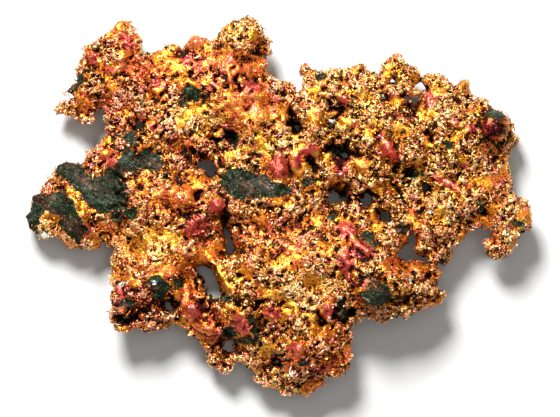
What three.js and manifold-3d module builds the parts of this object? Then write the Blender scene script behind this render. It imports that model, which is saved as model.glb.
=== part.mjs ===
// Native copper nugget: one flat, branching mass of naturally grown copper, lying on its broad side.
// Millimetres, +X along its length, +Z up. The origin is the middle of its footprint, on the surface
// that it lies on.

import * as THREE from 'three';
import { mergeVertices } from 'three/addons/utils/BufferGeometryUtils.js';
import Module from 'manifold-3d';

const wasm = await Module();
wasm.setup();

// ---- Driving dimensions, in millimetres ----
const SLAB_LENGTH = 60;          // blank that the outline is cut from, a little over the nugget's 55
const SLAB_WIDTH = 45;           // ... and over its 41
const FACET = 1.2;               // spacing of the relief's facets
const GRID_SHIFT = [0.17, 0.23]; // keeps the outline's corners off the facets' corners

const EDGE_THICKNESS = 0.9;      // the metal thins to this at the outline
const BODY_THICKNESS = 4.4;      // plain thickness away from the outline
const EDGE_BAND = 4.2;           // the thinning happens within this distance of the outline
const HOLE_BAND = 1.8;           // ... and, less, within this distance of a hole
const HOLE_RIM = 0.25;           // share of the full roundness that a hole's rim keeps
const UPPER_RIM_RELIEF = 0.3;    // share of the relief that is left at the outline, above
const LOWER_RIM_RELIEF = 0.1;    // ... and below
const MIDDLE_HEIGHT = 3.2;       // height of the mass's middle above the surface that it lies on
const LUMP_SPACING = 2.7;        // distance between the small lumps all over
const LUMP_HEIGHT = 0.9;         // how much they rise and sink
const UPPER_LAYER = 1;           // which pattern of lumps the upper face has
const LOWER_LAYER = 2;           // ... and the lower
const SCATTER = [127.1, 311.7, 74.7, 43758.5453]; // any large uneven numbers: they mix the lumps' heights

const OVAL_CORNERS = 9;          // corners of a small hole's outline
const BLOCK_HEIGHT = 20;         // the block cut to the outline is taller than the relief
const BLOCK_FOOT = -5;           // ... and starts this far from the surface, below it

// ---- The outline, clockwise from the beak at the upper left ----
const HOOK_AND_CREST = [
  [-24.3, 10.2], [-23.2, 11.3], [-22.1, 11.6], [-22.3, 12.4], [-23.2, 12.1], [-22.8, 13.0], [-22.0, 13.6],
  [-21.5, 14.7], [-21.3, 15.6], [-20.9, 16.5], [-21.1, 16.9], [-20.5, 17.4], [-19.5, 17.9], [-17.8, 19.2],
  [-17.6, 19.7], [-16.9, 20.2], [-15.9, 19.7], [-15.5, 18.6], [-15.1, 18.2], [-15.1, 17.1], [-14.6, 16.4],
  [-13.0, 16.9], [-10.9, 17.5], [-10.3, 16.9], [-9.5, 18.0], [-8.2, 18.3], [-7.4, 17.6], [-6.8, 17.8],
  [-6.1, 19.3], [-4.5, 20.1], [-2.9, 20.4], [-2.0, 19.5], [-1.8, 18.7], [-0.9, 17.9], [-1.1, 17.3],
  [-0.7, 16.8], [-1.6, 16.3], [-1.2, 15.6], [-1.4, 14.8], [-0.9, 14.2], [-0.5, 13.3],
];
const UPPER_RIGHT = [
  [1.1, 13.5], [1.7, 13.0], [2.0, 12.1], [2.7, 12.2], [2.9, 12.9], [2.5, 14.9], [2.8, 15.5], [3.3, 14.9],
  [5.0, 14.7], [7.3, 14.7], [8.9, 15.5], [9.8, 14.6], [11.0, 14.0], [11.6, 14.7], [11.4, 15.2], [12.6, 16.3],
  [13.3, 16.1], [13.7, 15.5], [15.0, 14.9], [15.6, 13.6], [16.0, 14.3], [17.2, 14.2], [19.3, 13.0],
  [19.8, 13.5], [20.6, 13.6], [21.0, 11.5], [22.5, 11.7], [23.1, 10.6], [24.4, 10.1], [25.5, 8.7],
  [25.1, 8.0], [25.9, 7.6], [25.9, 6.7], [25.4, 6.2], [25.7, 5.9], [24.6, 4.8], [25.3, 3.0], [25.1, 1.8],
];
const RIGHT_TONGUE = [
  [26.1, 0.3], [26.8, 0.5], [27.6, -0.8], [27.3, -2.4], [26.7, -2.4], [26.1, -2.8], [26.0, -3.6],
  [25.2, -4.9], [23.8, -5.7], [22.8, -5.3], [23.0, -4.6], [22.4, -4.2], [23.1, -3.6], [23.4, -2.4],
  [22.0, -2.2], [20.4, -2.7], [20.0, -3.7], [18.7, -4.8], [18.6, -6.1], [18.1, -7.1], [17.3, -7.8],
  [17.0, -8.4], [17.5, -9.2], [17.9, -9.2], [17.8, -9.9], [17.0, -10.7], [16.0, -10.7], [14.9, -11.4],
  [14.4, -12.0], [13.8, -12.1], [13.2, -11.7], [11.8, -12.1], [11.0, -12.6], [10.1, -12.1], [8.9, -12.1],
];
const FOOT = [
  [7.4, -13.2], [8.0, -14.0], [7.9, -15.0], [7.4, -16.0], [8.1, -16.3], [7.2, -16.9], [7.7, -17.5],
  [6.7, -18.5], [5.4, -18.2], [4.8, -19.3], [3.9, -19.7], [3.0, -20.4], [1.1, -20.3], [-0.5, -19.8],
  [-2.7, -19.0], [-1.9, -18.3], [-3.1, -17.7], [-3.9, -16.6], [-4.7, -16.4], [-5.0, -17.3], [-5.8, -17.9],
  [-6.8, -17.6], [-7.6, -17.0], [-7.4, -15.9], [-8.4, -15.0], [-8.5, -14.5], [-9.5, -14.1], [-9.9, -13.3],
];
const LOWER_LEFT = [
  [-11.7, -12.7], [-12.9, -13.4], [-14.2, -13.6], [-15.6, -13.2], [-16.3, -13.6], [-17.4, -13.5],
  [-18.2, -12.1], [-18.0, -11.4], [-17.4, -11.0], [-18.0, -10.1], [-17.6, -8.5], [-18.3, -7.8],
  [-17.9, -7.1], [-18.2, -5.7], [-17.3, -4.4], [-17.6, -4.0], [-18.7, -4.5], [-18.4, -3.4], [-19.2, -3.6],
];
const LEFT_TONGUE = [
  [-19.5, -4.7], [-21.4, -4.2], [-22.6, -4.5], [-23.2, -3.7], [-24.9, -3.2], [-25.3, -3.7], [-26.8, -2.6],
  [-27.6, -1.1], [-27.1, -0.6], [-26.6, 1.1], [-25.2, 1.2], [-25.6, 1.9], [-25.3, 2.6], [-24.1, 3.2],
  [-23.8, 4.4], [-23.1, 4.9], [-21.2, 4.5], [-20.8, 5.6], [-19.4, 5.8], [-19.6, 6.5], [-19.0, 6.8],
  [-19.0, 7.3], [-18.2, 7.8], [-18.9, 8.4], [-18.3, 8.9], [-18.4, 10.0], [-19.4, 10.7], [-20.1, 10.5],
  [-20.3, 9.2], [-21.1, 9.2], [-22.3, 9.9], [-23.7, 10.0],
];
const OUTLINE = [...HOOK_AND_CREST, ...UPPER_RIGHT, ...RIGHT_TONGUE, ...FOOT, ...LOWER_LEFT, ...LEFT_TONGUE];

// ---- Holes that go right through ----
const HOLES = [
  // upper left
  [[-8.8, 4.2], [-8.8, 4.7], [-8.0, 5.1], [-7.0, 4.7], [-6.7, 3.9], [-7.0, 3.1], [-7.6, 3.3], [-8.0, 3.9]],
  // slit between the left and the middle
  [[-5.9, -2.3], [-5.3, -2.4], [-5.1, -3.8], [-4.6, -5.1], [-5.6, -5.3], [-5.6, -3.2]],
  // lower left, the largest
  [[-9.0, -6.5], [-7.6, -6.6], [-7.0, -7.3], [-6.6, -8.1], [-6.1, -9.2], [-6.3, -10.0], [-7.3, -10.1],
    [-7.7, -9.3], [-7.8, -7.9], [-8.9, -7.4]],
  // boot-shaped, right
  [[14.3, -2.8], [14.8, -3.2], [15.0, -3.8], [14.6, -4.6], [15.2, -5.4], [15.9, -5.3], [16.4, -6.2],
    [15.0, -5.8], [13.8, -5.9], [12.9, -5.4], [13.1, -4.7], [14.2, -4.0]],
  oval(5.9, 1.0, 0.4, 0.8, -0.2),
  oval(11.6, -1.05, 0.6, 0.45, 0),
  oval(15.6, 12.8, 0.75, 0.42, 0),
  oval(-11.9, -10.85, 0.65, 0.42, -0.6),
];

// ---- Relief: [x, y, reach, rise]; a negative rise is a hollow ----
const UPPER_KNOLLS = [
  [-21.5, 1.0, 4.2, 0.7], [-21.0, 12.8, 3.0, 0.4], [-16.2, 17.3, 2.6, 0.5], [-16.0, 5.0, 3.0, 0.5],
  [-9.5, 14.6, 3.4, 0.9], [-3.8, 17.2, 2.8, 0.8], [-11.2, 1.2, 3.6, 1.6], [-13.5, -7.5, 4.0, 1.1],
  [-8.8, -12.4, 2.4, 0.9], [-3.4, -12.6, 2.6, 1.0], [-2.0, 0.5, 3.4, 1.5], [-3.6, -7.6, 2.8, 1.3],
  [3.0, -6.5, 5.0, 1.7], [3.4, -14.8, 4.0, 1.4], [10.2, -9.0, 2.8, 1.6], [15.0, -9.0, 2.4, 1.4],
  [9.0, 5.5, 4.4, 1.2], [16.0, 9.8, 3.6, 0.9], [23.2, 8.7, 2.0, 1.0], [20.5, 2.6, 4.0, 1.1],
  [25.0, -2.6, 2.4, 0.5], [10.8, -5.2, 2.6, 1.0], [3.0, 10.4, 2.8, 0.9], [-3.0, 9.0, 3.4, 1.0],
  [-6.6, 0.2, 1.6, 0.8], [6.0, 12.6, 2.6, 0.5], [-22.6, -2.4, 2.4, 0.4],
  [1.6, 9.1, 1.6, -1.6], [6.5, 5.9, 1.8, -1.9], [6.1, 10.6, 1.3, -1.2], [-5.7, 7.4, 1.5, -1.5],
  [-8.6, -8.4, 1.9, -2.0], [9.7, 0.7, 1.7, -1.4], [7.2, 0.7, 1.5, -1.2], [14.2, 2.4, 2.2, -1.1],
  [-18.6, 0.2, 1.2, -0.7], [-10.8, 5.6, 1.8, -1.0], [-5.4, -3.8, 1.4, -1.2], [-5.4, -15.2, 1.3, -1.1],
  [8.0, -11.8, 1.6, -1.2], [14.2, -7.2, 1.6, -0.9],
];
const LOWER_KNOLLS = [
  [-21.0, 0.4, 3.4, 1.9], [-12.6, -8.2, 3.6, 2.2], [-12.0, 12.6, 3.6, 2.1], [3.6, -13.2, 3.6, 2.4],
  [19.6, 5.4, 3.8, 2.3], [4.0, 7.0, 3.8, 2.0], [20.6, -1.0, 2.4, 1.3], [-2.4, -4.6, 3.0, 1.3],
  [-7.2, 3.0, 2.6, -1.0], [11.0, 0.4, 3.0, -1.0], [-1.6, 14.0, 2.8, -0.8], [-15.8, 3.4, 2.6, -0.9],
];
// The mass doesn't lie level: [x, y, reach, lift] of its middle.
const LIFTS = [
  [13.0, -10.0, 5.5, 2.1], [6.0, -17.5, 3.6, 1.1], [0.0, -20.0, 3.5, -0.6], [26.0, -3.0, 4.0, 1.3],
  [25.0, 8.0, 4.5, -0.7], [17.0, 14.5, 5.0, 0.9], [5.0, 14.5, 4.0, -0.5], [-4.0, 19.5, 4.0, 1.1],
  [-10.5, 17.0, 3.5, -0.6], [-18.0, 18.5, 4.0, 0.7], [-23.5, 11.5, 3.5, -0.9], [-26.0, -1.5, 4.5, -0.8],
  [-17.0, -12.5, 4.0, 1.2], [-7.0, -17.0, 3.0, -0.4], [-19.5, 7.5, 3.0, 0.9],
];

function oval(x, y, alongX, alongY, turn) {
  const curve = new THREE.EllipseCurve(x, y, alongX, alongY, 0, 2 * Math.PI, false, turn);
  return curve.getPoints(OVAL_CORNERS).slice(0, OVAL_CORNERS).map((point) => [point.x, point.y]);
}

function knolls(list, x, y) {
  let rise = 0;
  for (const [kx, ky, reach, height] of list) {
    rise += height * Math.exp(-((x - kx) ** 2 + (y - ky) ** 2) / reach ** 2);
  }
  return rise;
}

// A fixed, repeatable value between -1 and 1 for each whole-numbered corner.
function cornerValue(i, j, layer) {
  const mixed = Math.sin(i * SCATTER[0] + j * SCATTER[1] + layer * SCATTER[2]) * SCATTER[3];
  return 2 * (mixed - Math.floor(mixed)) - 1;
}

// Smooth lumps about `spacing` apart, blended between the corners of a square grid.
function lumps(x, y, spacing, layer) {
  const i = Math.floor(x / spacing);
  const j = Math.floor(y / spacing);
  const u = THREE.MathUtils.smoothstep(x / spacing - i, 0, 1);
  const v = THREE.MathUtils.smoothstep(y / spacing - j, 0, 1);
  const near = THREE.MathUtils.lerp(cornerValue(i, j, layer), cornerValue(i + 1, j, layer), u);
  const far = THREE.MathUtils.lerp(cornerValue(i, j + 1, layer), cornerValue(i + 1, j + 1, layer), u);
  return THREE.MathUtils.lerp(near, far, v);
}

function distanceToLoop(loop, x, y) {
  let nearest = Infinity;
  loop.forEach(([ax, ay], index) => {
    const [bx, by] = loop[(index + 1) % loop.length];
    const along = ((x - ax) * (bx - ax) + (y - ay) * (by - ay)) / ((bx - ax) ** 2 + (by - ay) ** 2);
    const t = THREE.MathUtils.clamp(along, 0, 1);
    nearest = Math.min(nearest, Math.hypot(x - ax - t * (bx - ax), y - ay - t * (by - ay)));
  });
  return nearest;
}

function isInside(loop, x, y) {
  let inside = false;
  loop.forEach(([ax, ay], index) => {
    const [bx, by] = loop[(index + 1) % loop.length];
    if (ay > y !== by > y && x < ax + ((y - ay) * (bx - ax)) / (by - ay)) inside = !inside;
  });
  return inside;
}

// 0 at the outline and outside it, little at a hole's rim, 1 in the body, rounding over in between.
function fullness(x, y) {
  if (!isInside(OUTLINE, x, y)) return 0;
  const fromEdge = distanceToLoop(OUTLINE, x, y) / EDGE_BAND;
  const fromHole = Math.min(...HOLES.map((hole) => distanceToLoop(hole, x, y))) / HOLE_BAND;
  const share = Math.min(1, fromEdge, HOLE_RIM + fromHole);
  return share * (2 - share);
}

function middle(x, y) {
  return MIDDLE_HEIGHT + knolls(LIFTS, x, y);
}

function top(x, y) {
  const full = fullness(x, y);
  const relief = knolls(UPPER_KNOLLS, x, y) + LUMP_HEIGHT * lumps(x, y, LUMP_SPACING, UPPER_LAYER);
  const thickness = EDGE_THICKNESS + (BODY_THICKNESS - EDGE_THICKNESS) * full;
  return middle(x, y) + thickness / 2 + relief * THREE.MathUtils.lerp(UPPER_RIM_RELIEF, 1, full);
}

function bottom(x, y) {
  const full = fullness(x, y);
  const relief = knolls(LOWER_KNOLLS, x, y) + LUMP_HEIGHT * lumps(x, y, LUMP_SPACING, LOWER_LAYER);
  const thickness = EDGE_THICKNESS + (BODY_THICKNESS - EDGE_THICKNESS) * full;
  // Nothing goes below the surface that it lies on, so the lowest knobs end in flats.
  return Math.max(0, middle(x, y) - thickness / 2 - relief * THREE.MathUtils.lerp(LOWER_RIM_RELIEF, 1, full));
}

// A closed block whose upper and lower faces follow the relief.
function reliefSlab() {
  const columns = Math.round(SLAB_LENGTH / FACET);
  const rows = Math.round(SLAB_WIDTH / FACET);
  const slab = weld(new THREE.BoxGeometry(SLAB_LENGTH, SLAB_WIDTH, 1, columns, rows, 1));
  slab.translate(GRID_SHIFT[0], GRID_SHIFT[1], 0);
  const position = slab.attributes.position;
  for (let k = 0; k < position.count; k++) {
    const x = position.getX(k);
    const y = position.getY(k);
    position.setZ(k, position.getZ(k) > 0 ? top(x, y) : bottom(x, y));
  }
  return slab;
}

// The outline and its holes as an upright block that is taller than the relief.
function outlineBlock() {
  const toPoints = (loop) => loop.map(([x, y]) => new THREE.Vector2(x, y));
  const shape = new THREE.Shape(toPoints(OUTLINE).reverse());
  shape.holes = HOLES.map((hole) => new THREE.Path(toPoints(hole)));
  const block = new THREE.ExtrudeGeometry(shape, { depth: BLOCK_HEIGHT, bevelEnabled: false });
  return weld(block).translate(0, 0, BLOCK_FOOT);
}

// The same surface with one vertex at each corner.
function weld(geometry) {
  geometry.deleteAttribute('normal');
  geometry.deleteAttribute('uv');
  return mergeVertices(geometry);
}

function toSolid(geometry) {
  return new wasm.Manifold(new wasm.Mesh({
    numProp: 3,
    vertProperties: new Float32Array(geometry.attributes.position.array),
    triVerts: new Uint32Array(geometry.index.array),
  }));
}

function toGeometry(solid) {
  const { vertProperties, triVerts } = solid.getMesh();
  const geometry = new THREE.BufferGeometry();
  geometry.setAttribute('position', new THREE.BufferAttribute(vertProperties, 3));
  geometry.setIndex(new THREE.BufferAttribute(triVerts, 1));
  geometry.computeVertexNormals();
  return geometry;
}

function copperNugget() {
  const geometry = toGeometry(toSolid(reliefSlab()).intersect(toSolid(outlineBlock())));
  geometry.computeBoundingBox();
  const centre = geometry.boundingBox.getCenter(new THREE.Vector3());
  geometry.translate(-centre.x, -centre.y, -geometry.boundingBox.min.z);
  const copper = new THREE.MeshStandardMaterial({ color: 0xc27038, roughness: 0.5, metalness: 0.8 });
  const mesh = new THREE.Mesh(geometry, copper);
  mesh.name = 'copper_nugget';
  return mesh;
}

const nugget = new THREE.Group();
nugget.add(copperNugget());

export default nugget;
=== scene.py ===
"""Looks of the native copper nugget: a closed hackly skin with grains and wires, over the CAD solid.

The solid's upper and lower faces are read column by column, roughened in a volume of small cells with
seeded noise and listed pits, domes and veins, and turned into the skin. Small grains and bent
wires are then scattered over it. Lengths are in millimetres until the meshes are made, in metres.
"""
import math

import bmesh
import bpy
import numpy as np
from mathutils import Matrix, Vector
from mathutils.bvhtree import BVHTree


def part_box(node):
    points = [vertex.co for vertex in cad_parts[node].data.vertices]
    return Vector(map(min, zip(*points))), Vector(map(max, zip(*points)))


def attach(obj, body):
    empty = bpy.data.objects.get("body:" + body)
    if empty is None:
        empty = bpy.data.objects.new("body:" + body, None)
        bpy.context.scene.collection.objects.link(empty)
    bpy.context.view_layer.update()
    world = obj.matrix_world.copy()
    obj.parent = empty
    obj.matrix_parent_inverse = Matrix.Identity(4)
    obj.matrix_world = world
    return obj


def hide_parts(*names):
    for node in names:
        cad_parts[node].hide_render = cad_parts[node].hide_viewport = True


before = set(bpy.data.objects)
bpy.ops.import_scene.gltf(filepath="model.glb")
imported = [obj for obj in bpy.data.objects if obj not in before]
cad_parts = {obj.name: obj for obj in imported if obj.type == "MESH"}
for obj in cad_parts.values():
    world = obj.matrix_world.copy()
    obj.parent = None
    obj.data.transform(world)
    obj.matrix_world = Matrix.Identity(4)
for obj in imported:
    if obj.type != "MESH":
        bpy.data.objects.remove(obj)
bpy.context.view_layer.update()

MM = 0.001
NUGGET = "copper_nugget"

# ---- Driving values, in millimetres ----
CELL = 0.16   # edge of the volume's cells
MARGIN = 1.3                              # empty space round the solid
REACH = 4.0                               # how far from the outline distances are worked out
RIM_ROUNDNESS = 0.5                       # how softly the broad faces turn into the rim
UPPER_BLUR = 0.65                         # how far the solid's facets are smoothed, above
LOWER_BLUR = 0.45                         # ... below
RIM_BLUR = 0.12                           # ... and round the outline
LEAST_THICKNESS = 0.5                     # of the nugget before its relief
SKIN_TRIANGLES = 192_000
UNDERSIDE_SHARE = 0.4                     # how much less detail the underside keeps
RED_RISE = 0.3                            # how far the smooth red patches stand up
RED_EDGE = 0.6                            # ... over this distance from their edges
DOME_SPREAD = 1.4                         # how far past its half sizes a dome reaches, squared
DOME_FULLNESS = 0.7                       # below 1, domes are fuller than a paraboloid
PATCH_SOFTNESS = 1.3                      # how steeply broad patches end
WAVE_SPREAD = 0.35                        # how much the waves of one noise differ in length
SMOOTH_EDGE = 0.35                        # width of the change from rough to smooth metal
SHEET_EDGE = 0.25                         # ... round the thin smooth sheets
CALM_SHARE = 0.8                          # how much less relief the smooth metal has
HALFWAY_BAND = 0.8                        # height over which the upper face turns into the lower
RIDGE_LEVEL = 0.75                        # noise at this distance from zero leaves the height as it is
WORM_STEP = 0.3                           # balls along a curling ridge, this share of a radius apart
BALL_MARGIN = 0.3                         # how far past a ball its cells are worked out
CALM_ZONE_LIMIT = 0.65                    # the calm zones make the metal at most this smooth
RIM_OF_HOLE = 0.6                         # the relief is less within this distance of a hole
CROWD_BLUR = 0.32                         # how far round a place counts for how open it is
STEP_OUT = 0.08                           # ... seen from this far outside the skin
RAISED_LIMITS = (-0.6, 0.45)              # heights above the plain shape that still change the colour
LOOKS_BELOW_MIDDLE = 0.3                  # the upper face's colours reach this far below half height
SHADE_STRENGTH = 0.9                      # how much of the listed shades is used
UNDERSIDE_TONE = -0.1                     # the underside is this much darker
GRAIN_PROUD = 0.1                         # the skin may stand this far above the solid's highest point
GRAINS = 23_500                           # small angular grains in each of their meshes
GRAIN_RADII = (0.09, 0.21)                # smallest and largest of the coarse grains
FINE_RADII = (0.06, 0.13)                 # ... and of the fine grains
GRAINS_BELOW = 0.3                        # the underside's share of grains and wires
STRAY_RED = 0.10                          # share of the grains that are red
STRAY_ROCK = 0.04                         # ... and that are rock
HUE_SPREAD = 0.28                         # how much one grain's hue differs from the next
WIRES = 4_200                             # short bent wires of copper
WIRE_LENGTHS = (0.5, 1.5)                 # shortest and longest
WIRE_RADII = (0.055, 0.12)                # thinnest and thickest
WIRE_ARCHES = (0.05, 0.3)                 # how high they arch
WIRE_SWAY = 0.3                           # ... and how far they bend sideways
WIRE_RINGS = 6                            # rings of corners along a wire
WIRE_SIDES = 4                            # corners of a ring

# Layers of relief in the volume: kind, strength, length of the waves, seed
RELIEF = [
    ("ridges", 0.10, 1.7, 22), ("furrows", 0.17, 1.25, 26), ("ridges", 0.14, 0.75, 23),
    ("grains", 0.10, 0.45, 24), ("hollows", 0.9, 1.0, 25),
]
SWELLS = (0.10, 2.8, 21)                  # the one layer that smooth metal has in full

# ---- Listed features: x and y from the middle of the footprint, in millimetres ----
# Deep dark pits in the upper face: x, y, radius, depth
PITS = [
    (1.6, 9.1, 0.9, 2.6), (6.2, 10.6, 0.8, 2.2), (6.8, 6.0, 1.15, 3.0), (3.6, 4.8, 0.5, 1.2),
    (-6.5, 7.3, 0.6, 1.6), (-5.0, 7.5, 0.6, 1.6), (-4.3, 14.1, 0.45, 1.2), (-4.2, 13.3, 0.4, 1.1),
    (-6.8, 14.0, 0.4, 1.0), (-12.2, 9.9, 0.35, 1.0), (14.6, 10.3, 0.45, 1.1), (16.3, 7.9, 0.5, 1.0),
    (-20.3, 12.7, 0.5, 1.2), (14.4, 3.2, 0.6, 1.5), (13.3, 1.2, 0.5, 1.3), (9.6, 1.1, 0.8, 2.2),
    (7.0, 0.8, 0.8, 2.2), (-8.4, -8.3, 0.7, 2.2), (-7.6, -10.7, 0.7, 1.8), (-5.6, -15.2, 0.7, 1.6),
    (-4.3, -15.7, 0.45, 1.6), (-16.9, -12.2, 0.8, 1.5), (-15.7, -11.9, 0.4, 1.0), (-14.3, -9.4, 0.4, 0.9),
    (8.8, -7.3, 0.4, 1.0), (7.2, -12.2, 0.7, 1.4), (8.1, -11.6, 0.5, 1.2), (16.2, -7.6, 0.4, 1.4),
    (-0.3, -16.9, 0.6, 1.2), (-11.9, -10.7, 0.9, 1.0), (2.9, -12.4, 0.35, 0.7), (4.5, -12.4, 0.45, 0.9),
    (-6.9, -15.2, 0.5, 0.9), (-6.3, -13.3, 0.3, 0.6), (-8.6, -12.8, 0.3, 0.5), (0.9, -10.9, 0.3, 0.6),
]
# Small holes right through: x, y, radius
PINHOLES = [
    (-15.0, 8.65, 0.42), (-8.6, 1.2, 0.3), (-6.1, 4.55, 0.22), (-5.75, -1.5, 0.22), (2.2, 8.5, 0.28),
    (6.75, 10.3, 0.25), (7.45, 5.45, 0.3), (7.0, 0.75, 0.25), (9.65, 0.2, 0.33), (12.55, 3.95, 0.22),
    (14.4, 3.95, 0.22), (16.1, 2.0, 0.36), (15.4, -0.65, 0.36), (13.9, -2.6, 0.36), (22.15, -0.6, 0.24),
    (11.5, 11.75, 0.25), (12.5, 13.6, 0.2), (14.0, 11.7, 0.25), (14.9, 11.5, 0.34), (-5.6, -15.05, 0.34),
    (-4.4, -10.6, 0.24), (-2.2, -10.5, 0.24), (-0.25, -16.95, 0.26), (-1.4, -17.5, 0.2),
    (17.7, -6.6, 0.2),
]
# Smooth domes and dimples: x, y, half length, half width, turn in degrees, rise
DOMES = [
    (-10.0, 0.5, 1.6, 1.2, 0, 0.7), (-8.8, -2.2, 1.5, 1.2, 20, 0.4), (-9.3, 12.8, 1.0, 1.0, 0, 0.4),
    (0.2, 4.2, 1.2, 1.5, 0, 0.4), (11.9, 6.2, 0.9, 0.9, 0, 0.4), (-25.0, 0.0, 1.6, 1.0, -30, 0.3),
]
# Raised veins and nodules as chains of points: width, rise, points
VEINS = [
    (0.42, 0.6, [(-23.0, 1.9), (-22.2, 0.6), (-21.6, -0.8), (-20.5, -2.2)]),
    (0.6, 0.6, [(-6.9, -6.2), (-6.1, -7.6), (-5.3, -9.0)]),
    (0.3, 0.6, [(-3.9, -11.6), (-3.3, -12.6), (-2.7, -13.9)]),
    (0.35, 0.5, [(-14.6, 15.6), (-13.0, 14.4), (-11.8, 14.6)]),
]
# Clefts: width, depth, points
CLEFTS = [
    (0.35, 0.9, [(-9.0, 6.0), (-8.2, 5.2), (-6.4, 3.2), (-5.9, 0.8), (-5.7, -1.4), (-5.4, -5.6)]),
    (0.35, 0.9, [(-4.9, -15.9), (-5.0, -14.6), (-5.9, -13.2), (-6.8, -12.1), (-7.6, -11.0)]),
    (0.3, 0.7, [(-3.9, -8.6), (-3.1, -8.3), (-2.0, -8.0)]),
    (0.3, 0.7, [(7.2, -2.9), (7.8, -4.4), (7.6, -6.6), (8.9, -7.4)]),
    (0.35, 0.7, [(6.7, -9.0), (6.9, -10.6), (6.4, -12.2), (5.6, -13.0)]),
    (0.3, 0.6, [(11.9, -10.6), (13.4, -10.1), (15.6, -10.0), (16.9, -10.2)]),
    (0.3, 0.6, [(-16.7, 3.2), (-16.7, 0.6), (-17.4, -0.9), (-18.4, -1.7)]),
    (0.3, 0.6, [(-14.5, 12.1), (-12.9, 11.9), (-11.4, 12.2)]),
    (0.3, 0.6, [(9.2, 2.6), (9.6, 1.6), (10.9, 0.2), (11.2, -0.8), (12.6, -1.9)]),
    (0.3, 0.6, [(3.5, 0.9), (5.3, 0.6), (6.6, 1.4), (8.3, 1.2)]),
]
# Colour patches on the upper face: x, y, half length, half width, turn in degrees
ROCK_PATCHES = [
    (-22.3, 13.3, 1.4, 0.9, 40), (23.6, 9.9, 1.2, 0.6, -10), (-9.3, 12.2, 1.0, 0.8, 0),
    (-10.2, 11.3, 0.5, 0.4, 0), (9.5, -8.2, 1.1, 0.5, 15), (10.6, -9.5, 1.6, 1.2, 0),
    (9.9, -3.6, 1.2, 0.7, -50), (-2.9, -12.8, 0.6, 1.5, 20), (-5.1, -13.7, 0.9, 0.7, 0),
    (-3.3, -14.5, 1.3, 0.5, 0), (-16.0, 7.4, 0.6, 0.8, 0), (-13.2, -8.1, 0.9, 0.7, 0),
    (-12.5, -8.8, 0.7, 0.8, 0), (-12.8, -9.6, 0.7, 0.5, -20), (-10.8, -8.3, 0.6, 0.5, 0),
    (-16.4, -10.5, 0.9, 0.5, 0), (5.8, -1.2, 0.5, 0.4, 0), (3.4, 2.7, 0.8, 0.5, 0),
    (6.9, 5.9, 1.1, 0.8, -30), (18.5, 6.6, 0.5, 0.4, 0), (2.6, -16.9, 0.9, 0.5, 20),
    (7.0, -11.3, 0.5, 1.2, 10), (-16.0, -0.8, 0.8, 0.7, 0), (-4.7, 7.0, 0.5, 1.0, 0),
    (14.9, 3.4, 0.8, 0.4, 0), (22.0, -0.2, 0.4, 0.6, 0), (26.0, -1.9, 0.9, 0.4, 10),
    (4.6, 14.0, 0.6, 0.5, 0), (-6.0, -10.0, 1.4, 0.4, 0), (17.9, -6.3, 0.6, 0.6, 0),
    (13.4, -2.4, 0.5, 0.6, 0),
]
# Larger fields of rock that still fill the copper: corners of their outlines
ROCK_FIELDS = [
    [(-24.2, 4.4), (-23.2, 5.2), (-21.5, 5.0), (-21.0, 3.8), (-20.5, 3.3), (-19.3, 3.3), (-18.7, 3.7),
     (-18.3, 4.3), (-17.6, 5.3), (-16.2, 5.0), (-15.8, 4.1), (-16.6, 3.7), (-17.1, 2.7), (-16.3, 2.1),
     (-16.0, 1.4), (-16.7, 0.5), (-17.0, -0.3), (-16.7, -1.1), (-17.1, -2.1), (-17.6, -1.8), (-18.3, -0.8),
     (-19.3, -0.8), (-20.0, -0.4), (-20.9, 0.3), (-21.3, 1.2), (-22.6, 2.3), (-23.4, 3.0), (-24.2, 3.4)],
    [(-27.0, 1.2), (-25.2, 1.4), (-23.9, 1.7), (-23.2, 1.6), (-22.6, 1.0), (-22.0, 0.5), (-21.8, -0.5),
     (-21.3, -1.4), (-20.5, -2.5), (-20.9, -3.2), (-22.0, -3.9), (-23.0, -3.0), (-23.7, -2.1), (-23.8, -1.2),
     (-25.2, -0.5), (-25.7, -1.0), (-25.9, -1.8), (-26.3, -2.8), (-27.8, -2.2), (-28.2, -1.2), (-27.9, -0.2)],
    [(-6.3, 2.4), (-6.1, 3.5), (-5.2, 4.1), (-3.9, 4.2), (-3.0, 3.9), (-2.2, 3.4), (-1.4, 3.5), (-0.9, 2.8),
     (-0.3, 2.5), (0.9, 2.4), (1.7, 2.0), (1.6, 1.4), (0.2, 1.0), (-1.9, 0.8), (-3.0, 0.8), (-3.9, 0.6),
     (-4.7, 0.9), (-5.7, 1.6)],
    [(-17.3, 4.6), (-16.9, 5.9), (-16.2, 6.3), (-15.2, 5.7), (-13.9, 6.1), (-12.7, 5.4), (-12.3, 4.4),
     (-13.0, 3.8), (-14.4, 4.0), (-15.6, 3.7), (-16.6, 3.6)],
]
# White grains of mineral caught in the copper; the one at 5.9, 9.1 is a painted highlight on a red ridge
CHIPS_AND_HIGHLIGHT = [
    (-25.5, -3.1, 0.6, 0.35, 10), (-13.4, -8.3, 0.18, 0.14, 0), (-14.1, -12.2, 0.16, 0.14, 0),
    (-9.5, -10.9, 0.14, 0.14, 0), (1.6, -18.1, 0.26, 0.2, 20), (14.3, -8.0, 0.16, 0.14, 0),
    (-0.3, -19.3, 0.16, 0.12, 0), (-11.5, -12.0, 0.22, 0.14, 30), (5.9, 9.1, 0.3, 0.24, 60),
    (-16.9, -8.4, 0.4, 0.1, 20), (12.2, -1.9, 0.16, 0.14, 0), (16.6, -0.6, 0.2, 0.14, 0),
]
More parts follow.
